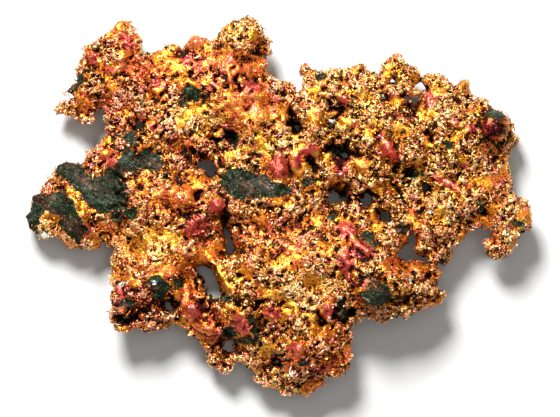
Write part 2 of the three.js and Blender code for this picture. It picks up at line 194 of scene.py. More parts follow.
# Broad changes of tone, darker below zero and lighter above: partly the metal's own tone, partly painted
# shade on the lower rims and round the pits, and a painted highlight at 5.9, 9.0: x, y, half length, half
# width, turn, amount
SHADES = [
    (-20.2, 12.7, 1.4, 1.2, 0, -0.35), (-15.8, 12.3, 0.8, 0.5, 0, -0.25), (-9.4, 12.2, 1.2, 1.0, 0, -0.5),
    (-4.6, 13.3, 1.2, 0.7, 30, -0.4), (-2.4, 17.3, 1.0, 1.2, 0, -0.2), (-16.5, 7.0, 1.6, 1.6, 0, -0.3),
    (-15.3, 6.6, 0.8, 0.8, 0, -0.25), (-17.3, 9.0, 0.8, 1.0, 0, -0.2), (-10.4, 7.2, 0.8, 0.8, 0, -0.4),
    (-6.8, 7.2, 0.8, 0.8, 0, -0.6), (-4.8, 7.2, 0.8, 1.2, 0, -0.35), (-8.0, 5.8, 2.2, 0.8, 0, -0.45),
    (-10.6, 4.8, 1.4, 0.6, 10, -0.45), (-15.2, 2.4, 0.8, 0.8, 0, -0.25),
    (-16.0, -0.8, 1.0, 0.9, 0, -0.25), (-10.2, -1.3, 1.6, 0.8, 0, -0.2), (-8.6, -2.8, 1.4, 1.0, 0, -0.2),
    (-6.2, -1.2, 0.6, 0.8, 0, -0.4), (-15.2, -11.6, 2.6, 2.0, 0, -0.5),
    (-17.2, -11.8, 1.4, 1.4, 0, -0.25), (-14.2, -9.8, 1.6, 1.0, 0, -0.2),
    (-12.2, -9.2, 1.4, 1.2, 0, -0.35), (-8.2, -11.2, 1.0, 1.2, 0, -0.4),
    (-6.0, -10.2, 1.8, 0.6, 0, -0.35), (-5.5, -16.8, 1.0, 0.8, 0, -0.3), (-0.7, -17.0, 1.2, 0.5, 0, -0.4),
    (-3.2, -8.8, 0.9, 0.7, 0, -0.25), (0.5, -1.0, 2.6, 1.6, 0, -0.15), (-3.3, -4.6, 1.0, 0.8, 0, -0.25),
    (0.3, -3.2, 1.0, 1.4, 0, -0.2), (0.9, 12.8, 1.2, 0.5, 0, -0.3), (13.5, 14.4, 1.0, 0.5, 0, -0.35),
    (14.2, 10.5, 1.4, 1.2, 0, -0.3), (12.6, 4.6, 0.7, 0.7, 0, -0.35), (13.4, 3.0, 1.0, 0.8, 0, -0.3),
    (17.6, 5.0, 0.7, 0.6, 0, -0.25), (20.5, 6.5, 1.2, 0.8, 0, -0.3), (23.5, 8.5, 1.8, 1.9, 0, -0.6),
    (22.0, -0.2, 0.6, 0.8, 0, -0.3), (7.4, 1.2, 1.2, 0.8, 0, -0.6), (5.0, 2.0, 2.0, 1.5, 0, -0.25),
    (9.6, 0.8, 1.0, 0.9, 0, -0.5), (11.5, 0.6, 0.8, 1.0, 0, -0.3), (6.5, -0.8, 1.2, 0.6, 0, -0.25),
    (9.3, -5.0, 1.4, 0.9, -20, -0.3), (10.1, -9.2, 2.1, 1.9, 0, -0.8), (8.7, -8.3, 1.0, 0.35, 10, 0.7),
    (10.3, -9.3, 0.4, 0.3, 0, 0.6), (10.9, -8.7, 0.4, 0.15, -20, 0.6), (8.4, -9.9, 0.2, 0.3, 0, 0.4),
    (14.0, -9.8, 1.8, 0.8, 0, -0.35), (17.2, -9.8, 0.7, 0.8, 0, -0.35), (15.0, -7.0, 1.2, 0.8, 0, -0.25),
    (18.0, -6.3, 0.8, 0.8, 0, -0.35), (7.0, -11.0, 0.8, 1.5, 0, -0.35), (7.0, -15.0, 0.9, 3.0, 0, -0.3),
    (4.5, -17.0, 2.0, 1.0, 0, -0.25), (-4.6, -14.0, 2.2, 1.6, 0, 0.12), (4.5, 14.0, 0.8, 0.6, 0, -0.3),
    (20.5, 12.5, 0.8, 1.2, 0, -0.2), (-3.9, 19.0, 1.0, 0.7, 0, 0.3), (-12.6, 14.4, 4.4, 2.2, 0, -0.06),
    (-3.0, 11.0, 3.4, 2.2, 0, 0.15), (-9.5, 9.5, 3.4, 1.5, 0, 0.24), (1.2, 7.0, 1.3, 1.0, 0, 0.25),
    (1.0, 11.1, 1.0, 0.6, 0, 0.2), (-12.5, -5.0, 4.6, 2.8, 0, 0.28), (-12.4, 1.4, 1.8, 1.6, 0, 0.1),
    (-5.4, -8.2, 1.2, 1.6, -10, 0.35), (3.4, -9.4, 3.6, 2.4, 0, 0.22), (5.9, 9.0, 0.8, 0.8, 0, 0.4),
    (9.9, 11.2, 1.3, 1.0, 0, 0.15), (18.2, 10.4, 2.0, 1.2, -20, 0.3), (15.0, 7.5, 1.2, 0.6, 0, 0.2),
    (17.0, -0.2, 2.0, 1.0, 0, 0.2), (22.4, 3.3, 1.6, 1.1, 0, 0.15), (25.2, -3.0, 0.7, 1.0, 0, 0.2),
    (0.2, -18.4, 1.3, 0.6, 0, 0.2), (15.3, -8.8, 1.2, 0.6, 0, 0.2), (-2.6, 6.4, 2.0, 0.8, 0, 0.12),
    (-6.0, -4.6, 2.6, 1.6, 0, 0.1), (-18.6, -1.9, 1.8, 0.8, -20, 0.15), (26.9, -0.8, 0.6, 0.9, 0, 0.15),
]
# Smooth red skins of cuprite: x, y, half length, half width, turn in degrees
RED_PATCHES = [
    (3.4, 6.1, 1.1, 0.6, 20), (2.1, 4.9, 0.6, 1.0, 0), (0.2, 4.2, 1.2, 1.4, 0), (6.8, 4.3, 0.8, 1.2, 0),
    (11.9, 6.2, 0.9, 0.9, 0), (10.9, 7.5, 0.6, 0.5, 0), (12.7, 5.3, 0.5, 0.5, 0),
    (7.4, -2.6, 1.1, 0.9, 0), (9.0, -4.7, 1.4, 0.9, -30), (7.4, -6.0, 0.9, 1.7, 0),
    (-16.2, 17.8, 0.6, 1.0, 30), (-20.1, 16.0, 0.6, 0.9, 0), (-8.8, 17.9, 0.7, 0.4, 0),
    (-9.9, 15.9, 0.7, 0.6, 0), (-8.8, 15.0, 0.5, 0.4, 0), (-6.9, 13.1, 0.5, 0.5, 0),
    (-2.9, 12.9, 0.9, 0.8, 0), (-6.6, 0.0, 1.0, 0.9, 0), (-8.8, -2.2, 1.5, 1.2, 20),
    (-18.4, 4.9, 0.9, 0.7, 0), (-20.3, 4.4, 0.6, 0.4, 0), (20.9, 8.3, 0.7, 0.6, 0),
    (19.0, 9.0, 0.6, 0.4, 0), (16.4, 11.5, 0.6, 1.0, 0), (7.1, 11.6, 0.5, 0.6, 0),
    (18.4, 2.4, 1.8, 0.4, -30), (-13.3, 13.4, 0.6, 0.5, 0), (-13.4, 8.5, 0.6, 0.5, 0),
    (23.2, 8.3, 1.2, 1.1, 0), (-9.0, -11.3, 1.0, 0.9, 0), (-4.0, -12.8, 0.8, 1.3, 20),
    (8.8, -8.3, 1.1, 0.35, 10), (10.3, -9.3, 0.4, 0.3, 0), (10.9, -8.7, 0.4, 0.15, -20),
    (8.4, -9.9, 0.2, 0.4, 0), (5.7, -11.4, 0.9, 0.9, 0), (4.6, -17.7, 1.0, 0.4, 30),
    (2.0, -15.3, 0.8, 0.6, 0), (-17.0, -9.2, 0.6, 0.8, 0), (-0.6, -11.5, 0.9, 0.6, -20),
]
# Broad changes of hue, towards gold above zero and towards red below
HUES = [
    (-9.5, 9.6, 3.0, 1.6, 0, 0.22), (5.5, 8.0, 2.0, 1.3, 0, 0.2), (-5.4, -8.0, 1.6, 1.6, 0, 0.25),
    (0.0, -9.9, 2.8, 1.0, 0, 0.25), (3.5, -12.9, 2.4, 1.2, 0, 0.2), (5.0, -8.0, 1.8, 1.4, 0, 0.2),
    (14.9, -9.0, 1.4, 0.9, 0, 0.25), (-17.6, -8.6, 0.9, 0.5, 0, 0.2), (-0.2, -18.5, 1.5, 0.9, 0, 0.2),
    (18.0, 10.5, 3.0, 1.8, -20, 0.2), (10.0, 11.0, 2.0, 1.6, 0, 0.25), (8.0, 7.3, 1.4, 0.7, 0, 0.3),
    (18.0, 4.6, 4.0, 2.2, 20, 0.1), (25.2, -2.8, 1.0, 1.2, 0, 0.3), (-13.4, -3.6, 3.4, 2.0, 0, 0.2),
    (12.4, -9.8, 0.8, 0.9, 0, 0.2), (-1.7, -15.1, 1.8, 0.9, 0, 0.25), (-4.2, 18.8, 1.8, 1.0, 0, 0.3),
    (-19.6, 11.6, 3.6, 2.6, 0, -0.28), (-2.0, 6.4, 2.6, 1.0, 0, 0.2), (1.2, 7.1, 1.4, 1.2, 0, 0.2),
    (-12.6, 12.4, 3.4, 1.6, 0, -0.2), (6.0, 13.0, 2.4, 1.4, 0, 0.15), (-11.5, -12.2, 0.7, 0.7, 0, 0.3),
    (-9.7, -10.4, 1.0, 2.2, 5, -0.55), (-7.3, -13.2, 2.2, 1.5, -30, -0.55),
    (-2.9, 10.8, 3.0, 1.8, 0, -0.45), (-3.8, 14.6, 2.3, 2.0, 0, -0.45), (-7.6, 15.8, 2.4, 1.4, 0, -0.3),
    (-13.8, 14.6, 2.4, 1.2, 0, -0.4), (-16.6, 15.2, 2.2, 1.2, 0, -0.3), (-16.4, 17.8, 1.0, 1.5, 20, -0.3),
    (-12.0, 0.6, 2.2, 1.4, 0, -0.15), (-9.8, 0.6, 1.8, 1.4, 0, -0.25), (-7.2, -4.8, 2.4, 1.2, 0, -0.2),
    (-12.0, -7.0, 2.8, 0.9, 0, -0.25), (-15.2, -10.9, 2.8, 2.4, 0, -0.6), (1.4, -5.4, 1.4, 1.8, 0, -0.25),
    (-0.4, -11.9, 1.7, 1.1, 0, -0.3), (5.2, -11.2, 1.1, 1.7, 0, -0.25), (-2.6, -2.8, 3.0, 2.6, 0, -0.2),
    (2.0, -2.6, 2.4, 2.2, 0, -0.2), (13.6, -6.4, 2.4, 0.9, 0, -0.2), (2.8, -16.2, 3.0, 1.7, 0, -0.3),
    (6.6, -15.6, 1.2, 2.6, 0, -0.25), (24.2, -4.4, 1.0, 1.0, 0, -0.2), (-19.4, 5.6, 1.3, 1.2, 0, -0.35),
    (-8.4, 2.8, 1.4, 1.2, 0, -0.2), (0.6, 12.8, 1.6, 0.6, 0, -0.3), (14.0, 10.4, 2.0, 1.4, 0, -0.25),
    (16.3, 11.6, 0.8, 1.2, 0, -0.3), (12.0, 6.6, 2.0, 1.8, 0, -0.2), (-19.6, -1.4, 2.2, 1.0, -30, -0.2),
    (-24.6, 1.9, 1.4, 0.6, 30, -0.3), (-10.2, 6.0, 2.0, 1.8, 0, -0.25), (-16.6, 8.6, 1.6, 1.6, 0, -0.25),
    (22.4, 3.0, 2.4, 1.6, 0, -0.15), (12.0, 5.0, 12.0, 8.0, 0, 0.16), (2.0, -10.0, 6.0, 6.0, 0, 0.08),
]
# Round nodules on the surface: x, y, radius, height of the middle above the surface
BEADS = [
    (23.4, 8.6, 1.7, -0.35), (10.05, -9.1, 1.9, -0.9), (-6.6, 0.3, 0.9, -0.25), (-9.1, -11.0, 0.85, -0.3),
    (-10.3, 13.0, 0.6, -0.2), (6.4, 4.7, 0.7, -0.3), (-18.6, 5.6, 0.7, -0.3), (7.2, 11.6, 0.45, -0.1),
    (-8.9, 17.8, 0.7, -0.35), (19.1, 8.9, 0.5, -0.15), (2.3, -15.4, 0.7, -0.3),
    (-14.6, -11.9, 0.5, -0.15),
]
# Rounded curling ridges: radius, height of the middle above the surface, points
WORMS = [
    (0.55, -0.1, [(4.0, 5.8), (3.4, 6.2), (2.7, 6.3), (2.0, 5.9), (1.7, 5.0), (1.8, 4.1), (2.4, 3.5)]),
    (0.32, -0.05, [(5.4, 10.0), (6.3, 10.0), (7.0, 9.3), (7.8, 8.9)]),
    (0.42, -0.15, [(6.7, -2.3), (7.8, -2.9), (8.5, -4.2), (9.8, -5.1)]),
    (0.40, -0.15, [(7.8, -4.2), (7.0, -5.1), (7.8, -6.8), (8.3, -7.3)]),
    (0.65, -0.35, [(-10.0, -9.0), (-9.9, -11.2), (-8.6, -12.9), (-7.2, -13.4)]),
    (0.22, -0.05, [(-5.5, 15.0), (-5.2, 13.7), (-5.1, 12.6), (-5.3, 11.5), (-5.9, 10.7), (-6.6, 10.4),
                   (-7.3, 11.0)]),
    (0.20, -0.05, [(-3.5, 16.5), (-2.4, 16.1), (-1.9, 14.8), (-2.0, 13.6)]),
    (0.30, -0.1, [(-11.0, 13.6), (-9.8, 13.7), (-8.5, 12.8)]),
    (0.35, -0.1, [(20.1, 8.0), (20.8, 8.4), (21.4, 8.9)]),
    (0.25, -0.05, [(17.2, 3.1), (18.4, 2.6), (19.6, 1.7), (20.2, 0.9)]),
]
# Smooth metal: x, y, half length, half width, turn in degrees
SMOOTH_PATCHES = [
    (-12.0, 15.6, 2.2, 1.6, 0), (-1.6, 10.6, 1.2, 1.9, 0), (-9.7, -9.6, 0.8, 2.2, 5),
    (-9.8, 2.2, 1.4, 1.6, 0), (-10.0, 0.5, 1.7, 1.2, 0), (-4.0, -12.9, 1.8, 1.7, 0),
    (10.2, -9.1, 2.1, 1.9, 0), (-8.9, -11.4, 1.3, 1.0, 0), (-18.0, 1.4, 1.6, 2.2, 0),
    (-24.6, 0.2, 2.4, 1.0, -30), (-20.6, 2.2, 2.6, 1.4, 0), (23.4, 8.7, 1.4, 1.7, 0),
    (-7.6, -13.0, 1.6, 0.8, 10), (-4.9, -11.2, 1.3, 0.6, 0), (-14.9, -11.2, 0.7, 1.0, 0),
    (-6.9, 15.6, 1.7, 0.8, 0), (-3.8, 14.8, 2.0, 2.0, 0), (-2.9, 10.8, 2.8, 1.6, 0),
    (-13.6, 14.9, 1.8, 0.8, 0), (-16.6, 15.0, 2.2, 0.8, 0), (-16.5, 17.8, 1.0, 1.2, 20),
    (-20.2, 15.9, 0.7, 0.8, 0), (-12.3, 0.6, 1.6, 1.2, 0), (3.0, 5.2, 1.2, 1.4, 0),
    (0.3, 4.0, 1.4, 1.3, 0), (11.8, 6.6, 1.2, 1.2, 0), (8.6, -4.6, 1.4, 1.0, -20),
    (7.4, -6.0, 0.8, 1.4, 0), (8.6, -8.3, 1.1, 0.7, 0), (1.6, -5.4, 1.2, 1.6, 0),
    (-0.4, -11.7, 1.3, 0.9, 0), (18.8, 2.2, 1.3, 0.7, -20), (13.2, -6.6, 1.4, 0.7, 0),
    (-7.2, -4.8, 1.8, 1.2, 0), (2.2, -15.3, 1.2, 0.8, 0), (-15.4, -4.6, 1.2, 1.2, 0),
    (-11.4, -6.8, 1.8, 0.8, 0), (5.0, -11.6, 0.9, 1.2, 0), (20.9, 8.2, 0.9, 0.7, 0),
]
# Broad areas of calmer metal: x, y, half length, half width, turn, amount
CALM_ZONES = [
    (-12.0, 15.2, 4.5, 2.0, 10, 0.7), (-4.2, 13.2, 3.2, 4.0, 0, 0.7), (-9.5, -10.5, 2.0, 4.0, 15, 0.7),
    (-11.5, 0.3, 3.4, 2.6, 0, 0.6), (-12.8, -5.0, 4.6, 2.6, 0, 0.45), (-2.5, 9.0, 3.5, 2.0, 0, 0.5),
    (-6.6, -12.8, 2.6, 2.2, -30, 0.7), (-1.8, -3.0, 4.0, 3.4, 0, 0.4), (-19.0, -2.4, 2.6, 1.2, -20, 0.6),
    (7.0, -5.0, 2.4, 2.6, 0, 0.4), (-9.0, 10.0, 4.0, 1.6, 0, 0.4), (3.0, -16.0, 3.0, 1.6, 0, 0.4),
]


# ---- The CAD solid, read column by column ----
def read_columns():
    """Heights of the solid's upper and lower faces over a square grid, and where there is metal."""
    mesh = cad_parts[NUGGET].data
    corners = [vertex.co / MM for vertex in mesh.vertices]
    tree = BVHTree.FromPolygons(corners, [list(face.vertices) for face in mesh.polygons])
    low, high = (np.array(corner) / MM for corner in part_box(NUGGET))
    xs = np.arange(low[0] - MARGIN, high[0] + MARGIN, CELL)
    ys = np.arange(low[1] - MARGIN, high[1] + MARGIN, CELL)
    upper = np.full((len(xs), len(ys)), np.nan)
    lower = np.full_like(upper, np.nan)
    down, up = Vector((0, 0, -1)), Vector((0, 0, 1))
    for i, x in enumerate(xs):
        for j, y in enumerate(ys):
            hit = tree.ray_cast(Vector((x, y, high[2] + 1)), down)[0]
            if hit is None:
                continue
            upper[i, j] = hit.z
            lower[i, j] = tree.ray_cast(Vector((x, y, low[2] - 1)), up)[0].z
    return xs, ys, upper, lower


def wave_squares(shape):
    """The squares of the wave numbers that a Fourier transform of an array gives, per millimetre."""
    axes = [np.fft.fftfreq(n, CELL) for n in shape[:-1]] + [np.fft.rfftfreq(shape[-1], CELL)]
    return sum(k**2 for k in np.meshgrid(*axes, indexing="ij", sparse=True))


def blurred(image, sigma):
    """Gaussian blur of a 2-D or 3-D array, sigma in millimetres."""
    spectrum = np.fft.rfftn(image) * np.exp(-2 * (math.pi * sigma) ** 2 * wave_squares(image.shape))
    return np.fft.irfftn(spectrum, image.shape)


def spread_out(heights, sigma):
    """The heights smoothed, and carried on past the outline where there are none."""
    known = np.isfinite(heights).astype(float)
    filled = np.where(np.isfinite(heights), heights, 0)
    cover = blurred(known, sigma)
    near = blurred(filled, sigma) / np.maximum(cover, 1e-6)
    wide = 4 * sigma + 1
    far = blurred(filled, wide) / np.maximum(blurred(known, wide), 1e-6)
    weight = np.clip(cover * 50, 0, 1)
    return weight * near + (1 - weight) * far


def distance_inside(mask):
    """Distance to the mask's edge in the plane, more than zero inside and less outside, up to REACH."""
    steps = int(REACH / CELL)

    def distance_to(target):
        along = np.where(target, 0.0, 1e3)
        for step in range(1, steps + 1):
            for shift in (-step, step):
                along = np.minimum(along, np.where(np.roll(target, shift, 0), float(step), 1e3))
        best = along**2
        for step in range(1, steps + 1):
            for shift in (-step, step):
                best = np.minimum(best, np.roll(along, shift, 1) ** 2 + step**2)
        return np.minimum(np.sqrt(best) * CELL, REACH)

    return distance_to(~mask) - distance_to(mask)


def hole_distance(metal):
    """Distance in the plane to the nearest hole, counting only places without metal that aren't outside."""
    outside = ~metal
    reached = np.zeros_like(metal)
    reached[0, :] = reached[-1, :] = reached[:, 0] = reached[:, -1] = True
    while True:
        grown = reached.copy()
        for axis in (0, 1):
            for shift in (-1, 1):
                grown |= np.roll(reached, shift, axis)
        grown &= outside
        grown |= reached
        if (grown == reached).all():
            break
        reached = grown
    return np.maximum(distance_inside(~(outside & ~reached)), 0)


# ---- Patterns ----
def band_noise(shape, wavelength, seed):
    """Seeded noise whose waves are about one length, with a spread of 1."""
    spectrum = np.fft.rfftn(np.random.default_rng(seed).standard_normal(shape, dtype=np.float32))
    off_length = (np.sqrt(wave_squares(shape)) * wavelength - 1) / WAVE_SPREAD
    spectrum *= np.exp(-(off_length**2))
    noise = np.fft.irfftn(spectrum, shape).astype(np.float32)
    return noise / noise.std()


def patch_axes(x, y, patch):
    """Distances from a patch's middle along and across it, as shares of its half length and half width."""
    cx, cy, length, width, turn = patch
    c, s = math.cos(math.radians(turn)), math.sin(math.radians(turn))
    return (c * (x - cx) + s * (y - cy)) / length, (c * (y - cy) - s * (x - cx)) / width


def depth_in_patches(x, y, patches):
    """How deep a place lies in the nearest patch, roughly in millimetres; less than zero outside."""
    depth = np.full(np.broadcast(x, y).shape, -1.0)
    for patch in patches:
        depth = np.maximum(depth, (1 - np.hypot(*patch_axes(x, y, patch))) * min(patch[2:4]))
    return np.clip(depth, -1, 1)


def segment_distance(x, y, start, end):
    """Distance in the plane to the line between two points."""
    (ax, ay), (bx, by) = start, end
    t = np.clip(((x - ax) * (bx - ax) + (y - ay) * (by - ay)) / ((bx - ax) ** 2 + (by - ay) ** 2), 0, 1)
    return np.hypot(x - ax - t * (bx - ax), y - ay - t * (by - ay))


def depth_in_outline(x, y, corners):
    """Distance in millimetres to an outline's edge, more than zero inside it."""
    sides = list(zip(corners, corners[1:] + corners[:1]))
    nearest = np.minimum.reduce([segment_distance(x, y, start, end) for start, end in sides])
    inside = np.zeros(nearest.shape, bool)
    for (ax, ay), (bx, by) in sides:
        if ay != by:
            crossing = ax + (y - ay) * (bx - ax) / (by - ay)
            inside ^= ((ay > y) != (by > y)) & (x < crossing)
    return np.where(inside, nearest, -nearest)


def rock_depth(x, y):
    """How deep a place lies in rock: the small patches and the larger fields."""
    fields = [depth_in_outline(x, y, field) for field in ROCK_FIELDS]
    return np.clip(np.maximum.reduce([depth_in_patches(x, y, ROCK_PATCHES), *fields]), -1, 1)


def patch_sum(x, y, patches):
    """The sum of broad soft patches, each of its own amount."""
    total = np.zeros(np.broadcast(x, y).shape)
    for *patch, amount in patches:
        u, v = patch_axes(x, y, patch)
        total += amount * np.exp(-((u**2 + v**2) ** PATCH_SOFTNESS))
    return total


def pit_shade(x, y):
    """Painted shade: how much darker the metal is made in the pits."""
    total = np.zeros(np.broadcast(x, y).shape)
    for px, py, radius, depth in PITS:
        total -= min(1.0, 0.5 * depth) * np.exp(-((np.hypot(x - px, y - py) / radius) ** 3))
    return total


def chain_cover(x, y, width, points):
    """1 on the middle of a chain of points, falling off smoothly over its width."""
    distances = [segment_distance(x, y, start, end) for start, end in zip(points, points[1:])]
    return np.exp(-((np.minimum.reduce(distances) / width) ** 2))


# ---- The skin as a volume ----
def shaped_upper(upper, x, y, wander):
    """The upper face with its pits, domes, veins and clefts."""
    for px, py, radius, depth in PITS:
        away = np.hypot(x + wander - px, y - wander - py) / radius
        upper = upper - depth * np.exp(-(away**3))
    for *dome, rise in DOMES:
        u, v = patch_axes(x, y, dome)
        upper = upper + rise * np.clip(1 - (u**2 + v**2) / DOME_SPREAD, 0, 1) ** DOME_FULLNESS
    lumps = np.clip(depth_in_patches(x + wander, y - wander, RED_PATCHES) / RED_EDGE, 0, 1)
    upper = upper + RED_RISE * np.sqrt(lumps)
    for width, rise, points in VEINS:
        upper = upper + rise * chain_cover(x + wander, y - wander, width, points)
    for width, depth, points in CLEFTS:
        upper = upper - depth * chain_cover(x - wander, y + wander, width, points)
    return upper


def slope_share(heights):
    """How much a face's height counts as distance: less where it is steep."""
    gx, gy = np.gradient(heights, CELL)
    return 1 / np.sqrt(1 + np.minimum(gx**2 + gy**2, 4))


def soft_least(a, b, radius):
    """The lesser of two values, rounded over where they are near each other."""
    share = np.clip(0.5 + 0.5 * (b - a) / radius, 0, 1)
    return b + (a - b) * share - radius * share * (1 - share)


def along_chain(points, step):
    """Places along a chain of points, no further apart than a step."""
    places = []
    for (ax, ay), (bx, by) in zip(points, points[1:]):
        count = math.ceil(math.hypot(bx - ax, by - ay) / step)
        places += [(ax + (bx - ax) * k / count, ay + (by - ay) * k / count) for k in range(count)]
    return places


def make_nodules(xs, ys, zs, upper):
    """The field of the round nodules and curling ridges, and where they cover the surface."""
    field = np.full((len(xs), len(ys), len(zs)), -1.0, np.float32)
    beaded = np.zeros(upper.shape)
    balls = list(BEADS)
    for radius, lift, points in WORMS:
        balls += [(*place, radius, lift) for place in along_chain(points, WORM_STEP * radius)]
    for px, py, radius, lift in balls:
        near = tuple(slice(*np.searchsorted(axis, (at - radius - BALL_MARGIN, at + radius + BALL_MARGIN)))
                     for axis, at in ((xs, px), (ys, py)))
        away = np.hypot(xs[near[0], None] - px, ys[None, near[1]] - py)
        height = upper[np.searchsorted(xs, px), np.searchsorted(ys, py)] + lift
        ball = radius - np.sqrt(away[:, :, None] ** 2 + (zs - height) ** 2)
        field[near] = np.maximum(field[near], ball)
        beaded[near] = np.maximum(beaded[near], np.clip(4 * (radius - away) + 0.5, 0, 1))
    return field, beaded


def smooth_share(x, y):
    """How smooth the metal is, from 0 to 1: patches, thin sheets, veins and broad calm zones."""
    shape = np.broadcast(x, y).shape
    patches = SMOOTH_PATCHES + RED_PATCHES + [dome[:5] for dome in DOMES]
    depth = np.maximum(depth_in_patches(x, y, patches), rock_depth(x, y))
    smooth = np.clip(depth + 0.25 * band_noise(shape, 1.1, 12) + 0.15, 0, SMOOTH_EDGE) / SMOOTH_EDGE
    sheets = np.clip(band_noise(shape, 3.4, 13) - 0.45, 0, SHEET_EDGE) / SHEET_EDGE
    veins = np.maximum.reduce([chain_cover(x, y, 1.2 * width, points) for width, _, points in VEINS])
    calm_zones = np.minimum(patch_sum(x, y, CALM_ZONES), CALM_ZONE_LIMIT)
    return np.maximum.reduce([smooth, 0.95 * sheets, veins, calm_zones])


def relief_layer(kind, wave):
    """Ridges, furrows, hollows or grains from noise with a spread of 1."""
    if kind == "ridges":
        return np.abs(wave) - RIDGE_LEVEL
    if kind == "furrows":
        return RIDGE_LEVEL - np.abs(wave)
    if kind == "hollows":
        return -np.clip(wave - 1.0, 0, 1.0)
    return wave


def make_volume():
    """The field that is zero on the skin, more inside and less outside, and what the looks need of it."""
    xs, ys, upper, lower = read_columns()
    pierced = np.isfinite(upper)
    x, y = xs[:, None], ys[None, :]
    wander = 0.35 * band_noise(pierced.shape, 1.6, 11)
    ragged = 1.1 + 0.4 * band_noise(pierced.shape, 0.7, 15)
    for px, py, radius in PINHOLES:
        pierced &= np.hypot(x - px, y - py) > radius * ragged
    low, high = (np.array(corner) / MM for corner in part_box(NUGGET))
    zs = np.arange(low[2] - MARGIN, high[2] + MARGIN, CELL)
    z = zs[None, None, :]
    inside = blurred(distance_inside(pierced), RIM_BLUR)
    upper = shaped_upper(spread_out(upper, UPPER_BLUR), x, y, wander)
    lower = np.minimum(spread_out(lower, LOWER_BLUR), upper - LEAST_THICKNESS)
    smooth = smooth_share(x, y)

    from_top = (upper[:, :, None] - z) * slope_share(upper)[:, :, None]
    from_bottom = (z - lower[:, :, None]) * slope_share(lower)[:, :, None]
    body = soft_least(from_top, from_bottom, RIM_ROUNDNESS)
    body = soft_least(body, inside[:, :, None], RIM_ROUNDNESS).astype(np.float32)

    middle = (upper + lower) / 2
    upper_share = np.clip((z - middle[:, :, None]) / HALFWAY_BAND + 0.5, 0, 1)
    rough = (1 - CALM_SHARE * smooth[:, :, None] * upper_share).astype(np.float32)
    relief = SWELLS[0] * band_noise(body.shape, *SWELLS[1:])
    for kind, strength, wavelength, seed in RELIEF:
        relief += rough * strength * relief_layer(kind, band_noise(body.shape, wavelength, seed))
    # The rims of holes stay as they are, so that no hole closes.
    near_hole = np.exp(-((hole_distance(pierced) / RIM_OF_HOLE) ** 2))[:, :, None].astype(np.float32)
    field = body + relief * (1 - 0.3 * near_hole) - 0.25 * near_hole
    nodules, beaded = make_nodules(xs, ys, zs, upper)
    field = np.maximum(field, nodules + 0.05 * band_noise(body.shape, 0.85, 27))
    # Nothing goes below the surface that the nugget lies on, or above the solid by more than its grain.
    field = np.minimum(field, (high[2] + GRAIN_PROUD - z)).astype(np.float32)
    return {"xs": xs, "ys": ys, "zs": zs, "field": field, "body": body, "smooth": smooth,
            "middle": middle, "wander": wander, "bare": np.maximum(0.5 * near_hole[:, :, 0], beaded)}


def surface_net(field):
    """Vertices, in cells, and triangles of the surface where the field is zero."""
    cells = np.array(field.shape) - 1
    count = np.zeros(cells.prod(), np.float32)
    total = np.zeros((3, cells.prod()), np.float32)
    quads = []
    for axis in range(3):
        first = field[tuple(slice(None, -1) if a == axis else slice(None) for a in range(3))]
        second = field[tuple(slice(1, None) if a == axis else slice(None) for a in range(3))]
        at = np.array(np.nonzero((first > 0) != (second > 0)))
        a, b = first[tuple(at)], second[tuple(at)]
        point = at.astype(np.float32)
        point[axis] += a / (a - b)
        one, two = [k for k in range(3) if k != axis]
        keep = (at[one] > 0) & (at[two] > 0) & (at[one] < cells[one]) & (at[two] < cells[two])
        at, point, a = at[:, keep], point[:, keep], a[keep]
        ring = []
        for d1, d2 in ((0, 0), (1, 0), (1, 1), (0, 1)):
            cell = at.copy()
            cell[one] -= d1
            cell[two] -= d2
            flat = np.ravel_multi_index(tuple(cell), tuple(cells))
            ring.append(flat)
            count += np.bincount(flat, minlength=len(count)).astype(np.float32)
            for k in range(3):
                total[k] += np.bincount(flat, point[k], minlength=len(count)).astype(np.float32)
        ring = np.array(ring).T
        turned = (a > 0) == (axis != 1)
        ring[~turned] = ring[~turned][:, ::-1]
        quads.append(ring)
    quads = np.concatenate(quads)
    used = np.nonzero(count)[0]
    number = np.zeros(len(count), np.int64)
    number[used] = np.arange(len(used))
    vertices = (total[:, used] / count[used]).T
    quads = number[quads]
    diagonal = [np.linalg.norm(vertices[quads[:, k]] - vertices[quads[:, k + 2]], axis=1) for k in (0, 1)]
    short = (diagonal[0] <= diagonal[1])[:, None]
    one = np.where(short, quads[:, [0, 1, 2]], quads[:, [1, 2, 3]])
    two = np.where(short, quads[:, [0, 2, 3]], quads[:, [1, 3, 0]])
    return vertices, np.concatenate([one, two])


def largest_part(vertices, triangles):
    """Drops what floats free of the mass or is sealed inside it."""
    label = np.arange(len(vertices))
    edges = np.concatenate([triangles[:, [0, 1]], triangles[:, [1, 2]]])
    while True:
        least = np.minimum(label[edges[:, 0]], label[edges[:, 1]])
        before = label.copy()
        np.minimum.at(label, edges[:, 0], least)
        np.minimum.at(label, edges[:, 1], least)
        label = label[label]
        if (label == before).all():
            break
    main = np.bincount(label).argmax()
    kept = label == main
    number = np.cumsum(kept) - 1
    return vertices[kept], number[triangles[kept[triangles[:, 0]]]]


def sample(volume, grid, points):
    """Values of a grid at points in millimetres, between its corners."""
    axes = [volume["xs"], volume["ys"], volume["zs"]][: grid.ndim]
    at = [np.clip((points[:, k] - axis[0]) / CELL, 0, len(axis) - 1.001) for k, axis in enumerate(axes)]
    low = [np.floor(a).astype(int) for a in at]
    result = np.zeros(len(points))
    for corner in np.ndindex(*(2,) * grid.ndim):
        weight = np.ones(len(points))
        for a, l, c in zip(at, low, corner):
            weight *= (a - l) if c else (1 - (a - l))
        result += weight * grid[tuple(l + c for l, c in zip(low, corner))]
    return result


